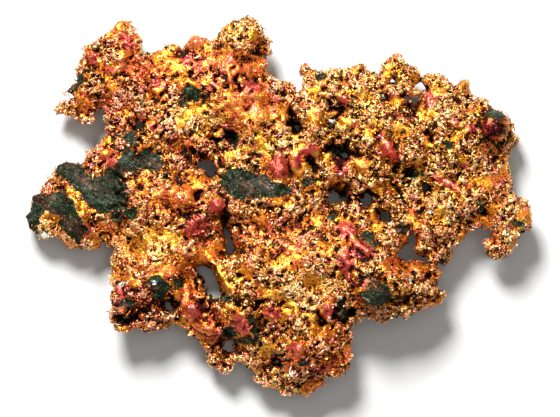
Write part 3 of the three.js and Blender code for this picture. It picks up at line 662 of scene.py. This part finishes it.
# ---- Meshes ----
def mesh_object(name, points, triangles):
    """A smooth-shaded mesh object from points in millimetres."""
    mesh = bpy.data.meshes.new(name)
    mesh.vertices.add(len(points))
    mesh.vertices.foreach_set("co", (np.asarray(points) * MM).astype(np.float32).ravel())
    mesh.loops.add(3 * len(triangles))
    mesh.loops.foreach_set("vertex_index", np.asarray(triangles, np.int32).ravel())
    mesh.polygons.add(len(triangles))
    mesh.polygons.foreach_set("loop_start", np.arange(0, 3 * len(triangles), 3, dtype=np.int32))
    mesh.polygons.foreach_set("loop_total", np.full(len(triangles), 3, np.int32))
    mesh.update(calc_edges=True)
    mesh.polygons.foreach_set("use_smooth", np.ones(len(triangles), bool))
    piece = bpy.data.objects.new(name, mesh)
    bpy.context.scene.collection.objects.link(piece)
    return piece


def points_of(mesh):
    points = np.zeros(3 * len(mesh.vertices), np.float32)
    mesh.vertices.foreach_get("co", points)
    return points.reshape(-1, 3) / MM


def normals_of(mesh):
    normals = np.zeros(3 * len(mesh.vertices), np.float32)
    mesh.vertices.foreach_get("normal", normals)
    return normals.reshape(-1, 3)


def thin_out(piece, triangles, weights):
    """Decimates to a number of triangles, more where the weights are high."""
    group = piece.vertex_groups.new(name="thin")
    for share in np.unique(weights):
        group.add(np.nonzero(weights == share)[0].tolist(), float(share), "REPLACE")
    decimate = piece.modifiers.new("thin", "DECIMATE")
    decimate.ratio = triangles / len(piece.data.polygons)
    decimate.vertex_group = "thin"
    decimate.vertex_group_factor = 1.0
    decimate.use_collapse_triangulate = True
    graph = bpy.context.evaluated_depsgraph_get()
    thinned = bpy.data.meshes.new_from_object(piece.evaluated_get(graph))
    piece.modifiers.clear()
    piece.vertex_groups.clear()
    piece.data = thinned
    points = points_of(thinned)
    points[:, 2] = np.maximum(points[:, 2], 0)
    thinned.vertices.foreach_set("co", (points * MM).ravel())
    clean(thinned)


def clean(mesh):
    """Takes away the faces that thinning leaves back to back on the same corners."""
    cleaned = bmesh.new()
    cleaned.from_mesh(mesh)
    on_corners = {}
    for face in cleaned.faces:
        on_corners.setdefault(frozenset(face.verts), []).append(face)
    doubled = [face for faces in on_corners.values() for face in faces[len(faces) % 2:]]
    bmesh.ops.delete(cleaned, geom=doubled, context="FACES")
    loose = [point for point in cleaned.verts if not point.link_faces]
    bmesh.ops.delete(cleaned, geom=loose, context="VERTS")
    cleaned.to_mesh(mesh)
    cleaned.free()


def corners_of(mesh):
    corners = np.zeros(3 * len(mesh.polygons), np.int32)
    mesh.loops.foreach_get("vertex_index", corners)
    return corners.reshape(-1, 3)


def write_map(mesh, places):
    """A map on which the materials can be drawn flat: a place for each corner of each triangle."""
    layer = mesh.uv_layers.new(name="OFBake", do_init=False)
    layer.uv.foreach_set("vector", np.asarray(places, np.float32).ravel())


def write_plan_map(mesh):
    """Faces that look up lie in one half of the map as seen from above, and the others in the other half."""
    points = points_of(mesh)[corners_of(mesh)]
    low, high = points.min((0, 1)), points.max((0, 1))
    plan = 0.005 + 0.99 * (points - low) / (high - low)
    looks_down = np.cross(points[:, 1] - points[:, 0], points[:, 2] - points[:, 0])[:, 2] < 0
    write_map(mesh, np.stack([(plan[..., 1] + looks_down[:, None]) / 2, plan[..., 0]], -1))


def write_cell_map(mesh, count, places):
    """Each of many equal bits has its own square of the map, with its corners at the same places in it."""
    across = math.ceil(math.sqrt(count))
    square = np.stack(np.divmod(np.arange(count), across), -1)
    write_map(mesh, (square[:, None] + 0.06 + 0.88 * places) / across)


LOOKS = ("raised", "open", "rock", "red", "chip_and_highlight", "smooth", "tone_and_shade", "hue")


def read_attribute(mesh, name):
    values = np.zeros(len(mesh.vertices), np.float32)
    mesh.attributes[name].data.foreach_get("value", values)
    return values


def write_attribute(mesh, name, values):
    attribute = mesh.attributes.new(name, "FLOAT", "POINT")
    attribute.data.foreach_set("value", np.asarray(values, np.float32))


def make_skin(volume):
    """The closed mesh where the volume's field is zero, resting on the surface below."""
    vertices, triangles = surface_net(volume["field"])
    vertices, triangles = largest_part(vertices, triangles)
    points = vertices * CELL + [volume["xs"][0], volume["ys"][0], volume["zs"][0]]
    points[:, 2] = np.maximum(points[:, 2], 0)
    skin = mesh_object("copper_skin", points, triangles)
    if len(triangles) > SKIN_TRIANGLES:
        above = points[:, 2] > sample(volume, volume["middle"], points)
        thin_out(skin, SKIN_TRIANGLES, np.where(above, 1 - UNDERSIDE_SHARE, 1.0))
    return skin


def write_looks(piece, volume):
    """Vertex values that the materials read: how raised, how open, and which patch it lies in."""
    mesh = piece.data
    points, normals = points_of(mesh), normals_of(mesh)
    raised = -sample(volume, volume["body"], points)
    solid = blurred((volume["field"] > 0).astype(np.float32), CROWD_BLUR)
    crowded = sample(volume, solid, points + STEP_OUT * normals)
    x, y = points[:, 0], points[:, 1]
    above = points[:, 2] > sample(volume, volume["middle"], points) - LOOKS_BELOW_MIDDLE
    bare = sample(volume, volume["bare"], points)
    # Raised and open make the material bright on the heights and dark in the crevices: partly wear and
    # tarnish, partly painted highlight and painted shade
    write_attribute(mesh, "raised", np.clip(raised, *RAISED_LIMITS) * (1 - bare))
    write_attribute(mesh, "open", 1 - 2 * (crowded - 0.25))
    write_attribute(mesh, "rock", np.where(above, rock_depth(x, y), -1))
    for name, patches in (("red", RED_PATCHES), ("chip_and_highlight", CHIPS_AND_HIGHLIGHT)):
        write_attribute(mesh, name, np.where(above, depth_in_patches(x, y, patches), -1))
    write_attribute(mesh, "bare", bare * above)
    write_attribute(mesh, "smooth", np.maximum(sample(volume, volume["smooth"], points), bare) * above)
    wander = sample(volume, volume["wander"], points)
    # Painted shade is part of this tone: the pits and, through some broad patches, the lower rims are
    # darkened
    tone_and_shade = SHADE_STRENGTH * patch_sum(x + wander, y - wander, SHADES) + pit_shade(x + wander, y - wander)
    write_attribute(mesh, "tone_and_shade", np.where(above, tone_and_shade, UNDERSIDE_TONE))
    write_attribute(mesh, "hue", np.where(above, patch_sum(x + wander, y - wander, HUES), 0))


# ---- Grains and wires, joined into a few meshes ----
def places_on(skin, count, seed):
    """Seeded places on the skin with their normals: more on the upper face and the rough metal."""
    rng = np.random.default_rng(seed)
    mesh = skin.data
    points, normals = points_of(mesh), normals_of(mesh)
    corners = corners_of(mesh)
    looks = {name: read_attribute(mesh, name) for name in LOOKS}
    a, b, c = (points[corners[:, k]] for k in range(3))
    area = np.linalg.norm(np.cross(b - a, c - a), axis=1) / 2
    first = corners[:, 0]
    rough = (1.15 - looks["smooth"])[first] * (1 - read_attribute(mesh, "bare")[first])
    high = np.clip(0.7 + 1.6 * looks["raised"][first], 0.05, 1.3)
    side = np.where(normals[first, 2] > -0.2, 1.0, GRAINS_BELOW)
    weight = area * rough * high * side
    chosen = rng.choice(len(area), count, p=weight / weight.sum())
    u, v = rng.random((2, count, 1))
    flip = u + v > 1
    u, v = np.where(flip, 1 - u, u), np.where(flip, 1 - v, v)
    parts = ((1 - u - v), u, v)
    place = sum(part * points[corners[chosen, k]] for k, part in enumerate(parts))
    normal = sum(part * normals[corners[chosen, k]] for k, part in enumerate(parts))
    normal /= np.linalg.norm(normal, axis=1)[:, None] + 1e-9
    return rng, place, normal, {name: values[corners[chosen, 0]] for name, values in looks.items()}


def within_box(points):
    """Grains stop at the surface that the nugget lies on, and don't stand proud of the solid's top."""
    low, high = (np.array(corner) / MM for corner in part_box(NUGGET))
    return np.clip(points, low - [0.5, 0.5, 0], high + [0.5, 0.5, GRAIN_PROUD])


def finish_bits(name, points, faces, places, looks, rng, smooth=False):
    """One joined mesh of many small bits, each of which takes the looks of the skin under it."""
    count, per_bit = points.shape[:2]
    triangles = (faces + per_bit * np.arange(count)[:, None, None]).reshape(-1, 3)
    piece = mesh_object(name, within_box(points.reshape(-1, 3)), triangles)
    write_cell_map(piece.data, count, places)
    piece.data.polygons.foreach_set("use_smooth", np.full(len(triangles), smooth))
    stray = rng.random(len(looks["red"]))
    looks["red"] = np.where(stray < STRAY_RED, 0.5, looks["red"])
    looks["rock"] = np.where(stray > 1 - STRAY_ROCK, 0.5, looks["rock"])
    looks["hue"] = looks["hue"] + rng.normal(0, HUE_SPREAD, len(stray))
    for key, values in looks.items():
        write_attribute(piece.data, key, np.repeat(values, per_bit))
    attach(piece, "root")
    return piece


def random_turns(rng, count):
    """Rotation matrices from seeded unit quaternions."""
    w, x, y, z = rng.standard_normal((4, count))
    size = np.sqrt(w * w + x * x + y * y + z * z)
    w, x, y, z = w / size, x / size, y / size, z / size
    rows = [[1 - 2 * (y * y + z * z), 2 * (x * y - w * z), 2 * (x * z + w * y)],
            [2 * (x * y + w * z), 1 - 2 * (x * x + z * z), 2 * (y * z - w * x)],
            [2 * (x * z - w * y), 2 * (y * z + w * x), 1 - 2 * (x * x + y * y)]]
    return np.moveaxis(np.array(rows), 2, 0)


def make_grains(name, skin, seed, radii):
    """Small uneven eight-sided grains, half sunk in the skin."""
    rng, place, normal, looks = places_on(skin, GRAINS, seed)
    corners = np.array([(1, 0, 0), (0, 1, 0), (-1, 0, 0), (0, -1, 0), (0, 0, 1), (0, 0, -1)], float)
    faces = np.array([(0, 1, 4), (1, 2, 4), (2, 3, 4), (3, 0, 4), (1, 0, 5), (2, 1, 5), (3, 2, 5), (0, 3, 5)])
    radius = radii[0] + (radii[1] - radii[0]) * rng.random(GRAINS) ** 2
    stretch = rng.uniform(0.6, 1.45, (GRAINS, 1, 3))
    jitter = rng.uniform(-0.25, 0.25, (GRAINS, 6, 3))
    shape = (corners + jitter) * stretch * radius[:, None, None]
    shape = np.einsum("nij,nkj->nki", random_turns(rng, GRAINS), shape)
    points = (place + 0.15 * radius[:, None] * normal)[:, None, :] + shape
    looks["tone_and_shade"] = looks["tone_and_shade"] + rng.normal(0.06, 0.34, GRAINS)
    # On the map the lower faces fold out round the upper ones, to the corners of the square.
    flat = corners[faces][:, :, :2]
    flat[4:, 2] = flat[4:].sum(1)
    return finish_bits(name, points, faces, 0.5 + flat.reshape(-1, 2) / 2, looks, rng)


def make_wires(name, skin, seed):
    """Short bent wires that arch out of the skin and back into it."""
    rng, place, normal, looks = places_on(skin, WIRES, seed)
    rings, sides = WIRE_RINGS, WIRE_SIDES
    turn = rng.standard_normal((WIRES, 3))
    along = np.cross(normal, turn)
    along /= np.linalg.norm(along, axis=1)[:, None]
    across = np.cross(normal, along)
    t = np.linspace(0, 1, rings)[None, :, None]
    length = rng.uniform(*WIRE_LENGTHS, (WIRES, 1, 1))
    arch = rng.uniform(*WIRE_ARCHES, (WIRES, 1, 1))
    sway = rng.uniform(-WIRE_SWAY, WIRE_SWAY, (WIRES, 1, 1))
    middle = (place[:, None] + along[:, None] * (t - 0.5) * length
              + normal[:, None] * (arch * np.sin(math.pi * t) - 0.08)
              + across[:, None] * sway * np.sin(2 * math.pi * t + rng.uniform(0, 6, (WIRES, 1, 1))))
    radius = rng.uniform(*WIRE_RADII, (WIRES, 1, 1)) * (0.45 + 0.55 * np.sin(math.pi * t))
    angle = (np.arange(sides) / sides * 2 * math.pi)[None, None, :, None]
    points = middle[:, :, None] + radius[:, :, None] * (
        np.cos(angle) * normal[:, None, None] + np.sin(angle) * across[:, None, None])
    faces = [(0, 1, 2), (0, 2, 3)]
    for ring in range(rings - 1):
        for side in range(sides):
            a, b = ring * sides + side, ring * sides + (side + 1) % sides
            faces += [(a, b + sides, b), (a, a + sides, b + sides)]
    last = (rings - 1) * sides
    faces += [(last, last + 2, last + 1), (last, last + 3, last + 2)]
    looks["tone_and_shade"] = looks["tone_and_shade"] + rng.normal(0.12, 0.18, WIRES)
    # On the map the sides lie in strips, and the two ends above them.
    faces = np.array(faces)
    ring, side = np.divmod(faces, sides)
    side = np.where((side == 0) & (side.max(1) == sides - 1)[:, None], sides, side)
    places = np.stack([side / sides, 0.85 * ring / (rings - 1)], -1)
    ends = (ring == ring[:, :1]).all(1)
    square = np.array([(0, 0), (0, 1), (1, 1), (1, 0)])[faces % sides]
    places[ends] = (0.1 * square + [0.0, 0.9] + 0.5 * (ring > 0)[..., None] * [1, 0])[ends]
    points = points.reshape(WIRES, rings * sides, 3)
    return finish_bits(name, points, faces, places.reshape(-1, 2), looks, rng, True)


# ---- Materials ----
# The metal's colours from the darkest openings, painted as shade, to the brightest grains, partly worn and
# partly a painted highlight, and the level of each
METAL_LEVELS = (0.0, 0.18, 0.36, 0.60, 0.82, 1.0)
ORANGE = [(0.004, 0.001, 0.0005), (0.030, 0.007, 0.001), (0.36, 0.075, 0.006),
          (0.82, 0.23, 0.012), (0.98, 0.41, 0.06), (1.0, 0.74, 0.42)]
GOLD = [(0.004, 0.001, 0.0005), (0.032, 0.009, 0.001), (0.36, 0.12, 0.006),
        (0.78, 0.34, 0.025), (0.95, 0.61, 0.09), (1.0, 0.88, 0.52)]
ROSE = [(0.004, 0.001, 0.0005), (0.034, 0.005, 0.002), (0.38, 0.052, 0.012),
        (0.82, 0.14, 0.035), (0.98, 0.28, 0.12), (1.0, 0.66, 0.50)]
# Red cuprite read over the same level, so it too runs from painted shade in the openings to a painted
# highlight at the top
CUPRITE_LEVELS = (0.0, 0.20, 0.46, 0.8, 1.0)
CUPRITE = [(0.005, 0.001, 0.001), (0.045, 0.006, 0.006), (0.50, 0.055, 0.036),
           (0.92, 0.17, 0.115), (1.0, 0.62, 0.54)]
ROCK_LEVELS = (0.25, 0.48, 0.68, 0.95)
ROCK = [(0.001, 0.002, 0.001), (0.005, 0.010, 0.004), (0.020, 0.034, 0.013), (0.16, 0.20, 0.10)]
RUST = [(0.005, 0.002, 0.001), (0.030, 0.015, 0.008), (0.095, 0.042, 0.024), (0.34, 0.17, 0.10)]
SCRATCH = (0.30, 0.36, 0.32)
# White of the mineral chips, also used for the painted highlight at 5.9, 9.1
CHIP_AND_HIGHLIGHT_COLOUR = (0.72, 0.70, 0.60)
# How much each look adds to the metal's brightness: raised and open paint light on the heights and shade in
# the crevices, partly standing for wear and tarnish; the tone adds broad patches and painted shade in the
# pits
BASE_LEVEL = -0.27
LEVEL_WEIGHTS = [("raised", 0.8), ("smooth", 0.10), ("open", 1.0), ("tone_and_shade", 1.0)]
# The hue above which the metal is gold and below which it is rose, and how sharply it turns
GOLD_ABOVE = 1.86
ROSE_BELOW = 1.62
HUE_CONTRAST = 3.5


def node_maker(material):
    material.use_nodes = True
    tree = material.node_tree
    tree.nodes.clear()

    def node(kind, inputs=None, **settings):
        made = tree.nodes.new(kind)
        for key, value in settings.items():
            setattr(made, key, value)
        for key, value in (inputs or {}).items():
            if isinstance(value, bpy.types.NodeSocket):
                tree.links.new(value, made.inputs[key])
            else:
                made.inputs[key].default_value = value
        return made

    return node


def ramp(node, value, levels, colours):
    made = node("ShaderNodeValToRGB", {"Fac": value})
    elements = made.color_ramp.elements
    while len(elements) < len(levels):
        elements.new(0.5)
    for element, place, colour in zip(elements, levels, colours):
        element.position = place
        element.color = (*colour, 1)
    return made.outputs["Color"]


def mixed(node, share, first, second):
    made = node("ShaderNodeMix", data_type="RGBA")
    for key, value in (("Factor", share), ("A", first), ("B", second)):
        socket = next(s for s in made.inputs if s.name == key and s.type in ("VALUE", "RGBA") and s.enabled)
        if isinstance(value, bpy.types.NodeSocket):
            made.id_data.links.new(value, socket)
        else:
            socket.default_value = (*value, 1) if isinstance(value, tuple) else value
    return next(s for s in made.outputs if s.type == "RGBA" and s.enabled)


def maths(node, operation, first, second=0.0, third=0.0, clamp=False):
    values = {0: first, 1: second, 2: third}
    return node("ShaderNodeMath", values, operation=operation, use_clamp=clamp).outputs[0]


def attribute(node, name):
    return node("ShaderNodeAttribute", attribute_name=name).outputs["Fac"]


def noise(node, place, scale_mm, detail, roughness, distortion=0.0):
    """A pattern from 0 to 1 whose waves are about a number of millimetres long."""
    return node("ShaderNodeTexNoise", {"Vector": place, "Scale": 1 / (scale_mm * MM), "Detail": detail,
                                       "Roughness": roughness, "Distortion": distortion}).outputs["Fac"]


def patch_share(node, name, edge_noise, sharpness):
    """1 in the patches of an attribute, with an uneven edge."""
    wander = maths(node, "MULTIPLY_ADD", edge_noise, 1.1, -0.55)
    depth = maths(node, "ADD", attribute(node, name), wander)
    return maths(node, "MULTIPLY_ADD", depth, sharpness, 0.5, clamp=True)


def speckles(node, pattern, least, sharpness):
    """1 where a pattern is well above a least value, 0 below it."""
    return maths(node, "MULTIPLY_ADD", pattern, sharpness, -least * sharpness, clamp=True)


def eased(node, full, loss):
    """A value that is full on rough metal and less by the loss on smooth metal."""
    return maths(node, "MULTIPLY_ADD", attribute(node, "smooth"), -loss, full)


def metal_level(node, place, grain, fine, patchy):
    """How bright the metal is: bright on the high grains and brown to black deep between them, partly wear
    and tarnish, partly painted highlight and painted shade, with painted glints over all.
    """
    level = BASE_LEVEL
    for name, weight in LEVEL_WEIGHTS:
        level = maths(node, "MULTIPLY_ADD", attribute(node, name), weight, level)
    level = maths(node, "MULTIPLY_ADD", maths(node, "SUBTRACT", grain, 0.5), eased(node, 2.9, 1.3), level)
    for pattern, weight in ((fine, 0.5), (patchy, 0.4)):
        level = maths(node, "ADD", maths(node, "MULTIPLY_ADD", pattern, weight, -weight / 2), level)
    level = maths(node, "MULTIPLY_ADD", level, 1.2, -0.08, clamp=True)
    level = maths(node, "MINIMUM", level, eased(node, 1.0, 0.25))
    # Painted glints: fine noise lightens and darkens single specks, standing in for light caught by tiny
    # facets
    painted_glints = maths(node, "SUBTRACT", noise(node, place, 0.11, 1.0, 0.5), 0.5)
    return maths(node, "MULTIPLY_ADD", painted_glints, eased(node, 1.4, 1.0), level, clamp=True)


def metal_colour(node, place, level):
    """Orange metal that turns to gold and to rose in patches."""
    orange, gold, rose = (ramp(node, level, METAL_LEVELS, colours) for colours in (ORANGE, GOLD, ROSE))
    tints = noise(node, place, 0.5, 3.0, 0.6)
    hue = maths(node, "MULTIPLY_ADD", attribute(node, "hue"), 1.4, maths(node, "MULTIPLY", tints, 2.8))
    hue = maths(node, "MULTIPLY_ADD", noise(node, place, 4.0, 3.0, 0.55), 0.9, hue)
    gold_share = maths(node, "MULTIPLY_ADD", hue, HUE_CONTRAST, -HUE_CONTRAST * GOLD_ABOVE, clamp=True)
    rose_share = maths(node, "MULTIPLY_ADD", hue, -HUE_CONTRAST, HUE_CONTRAST * ROSE_BELOW, clamp=True)
    return mixed(node, rose_share, mixed(node, gold_share, orange, gold), rose)


def rock_colour(node, place, grain, fine, patchy):
    """Rock streaked along one direction, rusty in places and scratched pale."""
    slanted = node("ShaderNodeMapping", {"Vector": place, "Rotation": (0, 0, math.radians(-38)),
                                         "Scale": (6, 1, 3)}, vector_type="TEXTURE").outputs["Vector"]
    streaks = noise(node, slanted, 0.2, 3.0, 0.6)
    level = maths(node, "MULTIPLY_ADD", streaks, 0.3, -0.75)
    for pattern, weight in ((grain, 1.2), (fine, 0.8), (patchy, 0.3)):
        level = maths(node, "MULTIPLY_ADD", pattern, weight, level)
    rock, rust = (ramp(node, level, ROCK_LEVELS, colours) for colours in (ROCK, RUST))
    rusty = speckles(node, noise(node, slanted, 1.0, 3.0, 0.6), 0.52, 7.0)
    scratched = speckles(node, patchy, 0.52, 10.0)
    scratches = maths(node, "MULTIPLY", speckles(node, streaks, 0.62, 12.0), scratched)
    return mixed(node, scratches, mixed(node, rusty, rock, rust), SCRATCH)


def copper_material():
    """Metal with red cuprite, dark rock and white chips, one of them a painted highlight, where the vertex
    values put them.
    """
    material = bpy.data.materials.new("native_copper")
    node = node_maker(material)
    place = node("ShaderNodeTexCoord").outputs["Object"]
    grain = noise(node, place, 0.20, 2.0, 0.6)
    fine = noise(node, place, 0.65, 3.0, 0.6)
    patchy = noise(node, place, 1.5, 3.0, 0.6)
    level = metal_level(node, place, grain, fine, patchy)

    red_patch = patch_share(node, "red", fine, 4.0)
    red_clumps = speckles(node, noise(node, place, 0.9, 2.0, 0.6), 0.57, 9.0)
    rock_clumps = speckles(node, noise(node, place, 0.95, 2.5, 0.65), 0.68, 14.0)
    rock_share = maths(node, "MAXIMUM", rock_clumps, patch_share(node, "rock", fine, 9.0))
    rock_share = maths(node, "MINIMUM", rock_share, maths(node, "MULTIPLY_ADD", red_patch, -0.9, 1.0))
    # White chips, and a painted highlight where one chip sits on a red ridge
    chip_and_highlight_share = patch_share(node, "chip_and_highlight", grain, 12.0)
    colour = metal_colour(node, place, level)
    red = ramp(node, level, CUPRITE_LEVELS, CUPRITE)
    colour = mixed(node, maths(node, "MAXIMUM", red_clumps, red_patch), colour, red)
    colour = mixed(node, rock_share, colour, rock_colour(node, place, grain, fine, patchy))
    colour = mixed(node, chip_and_highlight_share, colour, CHIP_AND_HIGHLIGHT_COLOUR)

    bare = maths(node, "MULTIPLY_ADD", maths(node, "MAXIMUM", rock_share, chip_and_highlight_share), -1.0, 1.0)
    metallic = maths(node, "MULTIPLY", bare, maths(node, "MULTIPLY_ADD", level, 0.9, 0.25, clamp=True))
    roughness = maths(node, "MULTIPLY_ADD", fine, -0.3, eased(node, 0.54, 0.08))
    bumps = maths(node, "ADD", noise(node, place, 0.15, 2.0, 0.6, 0.5), grain)
    bumps = maths(node, "MULTIPLY", bumps, eased(node, 1.0, 0.4))
    bump = node("ShaderNodeBump", {"Strength": 0.8, "Distance": 0.00012, "Height": bumps})
    shader = node("ShaderNodeBsdfPrincipled", {
        "Base Color": colour, "Metallic": metallic, "Roughness": roughness, "Specular IOR Level": 0.1,
        "Normal": bump.outputs["Normal"]})
    node("ShaderNodeOutputMaterial", {"Surface": shader.outputs["BSDF"]})
    return material


# ---- Floor, light and camera, in metres ----
FLOOR_HALF = 1.0
FLOOR_GAP = 0.00002
FLOOR_COLOUR = (0.62, 0.62, 0.61)
SKY_COLOUR = (1.0, 0.97, 0.93)
SKY_STRENGTH = 0.2
LAMPS = [("key", (-0.08, 0.24, 0.28), 0.11, 2.9), ("overhead", (0.05, 0.0, 0.45), 0.30, 0.5)]
CAMERA_PLACE = (0.00022, -0.00027, 0.424)
CAMERA_TO_TOP = 0.42                      # distance at which the view is VIEW_WIDTH wide
VIEW_WIDTH = 0.06086


def plain_material(name, colour, roughness):
    material = bpy.data.materials.new(name)
    node = node_maker(material)
    shader = node("ShaderNodeBsdfPrincipled", {"Base Color": (*colour, 1), "Roughness": roughness})
    node("ShaderNodeOutputMaterial", {"Surface": shader.outputs["BSDF"]})
    return material


def area_light(name, place, target, size, power):
    light = bpy.data.lights.new(name, "AREA")
    light.size = size
    light.energy = power
    lamp = bpy.data.objects.new(name, light)
    lamp.location = place
    lamp.rotation_euler = (Vector(target) - Vector(place)).to_track_quat("-Z", "Y").to_euler()
    bpy.context.scene.collection.objects.link(lamp)


def make_stage():
    corners = np.array([(-1, -1, 0), (1, -1, 0), (1, 1, 0), (-1, 1, 0)])
    floor = mesh_object("floor", corners * FLOOR_HALF / MM, [(0, 1, 2), (0, 2, 3)])
    floor.location.z = -FLOOR_GAP
    floor.data.materials.append(plain_material("pale_floor", FLOOR_COLOUR, 0.8))
    for name, place, size, power in LAMPS:
        area_light(name, place, (0, 0, 0), size, power)
    world = bpy.data.worlds.new("studio")
    bpy.context.scene.world = world
    world.use_nodes = True
    background = world.node_tree.nodes["Background"].inputs
    background["Color"].default_value = (*SKY_COLOUR, 1)
    background["Strength"].default_value = SKY_STRENGTH
    bpy.context.scene.view_settings.view_transform = "Standard"


def make_camera():
    """Straight above, far enough that the edges aren't seen from the side."""
    camera = bpy.data.cameras.new("camera")
    camera.sensor_width = 36
    camera.lens = camera.sensor_width * CAMERA_TO_TOP / VIEW_WIDTH
    camera.clip_start = 0.01
    camera.clip_end = 10
    viewer = bpy.data.objects.new("camera", camera)
    viewer.location = CAMERA_PLACE
    bpy.context.scene.collection.objects.link(viewer)
    bpy.context.scene.camera = viewer


make_camera()
make_stage()
volume = make_volume()
skin = make_skin(volume)
write_looks(skin, volume)
copper = copper_material()
skin.data.materials.append(copper)
write_plan_map(skin.data)
for bits in (make_grains("coarse_grains", skin, 41, GRAIN_RADII),
             make_grains("fine_grains_one", skin, 42, FINE_RADII),
             make_grains("fine_grains_two", skin, 44, FINE_RADII),
             make_wires("bent_wires", skin, 43)):
    bits.data.materials.append(copper)
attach(skin, "root")
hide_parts(NUGGET)
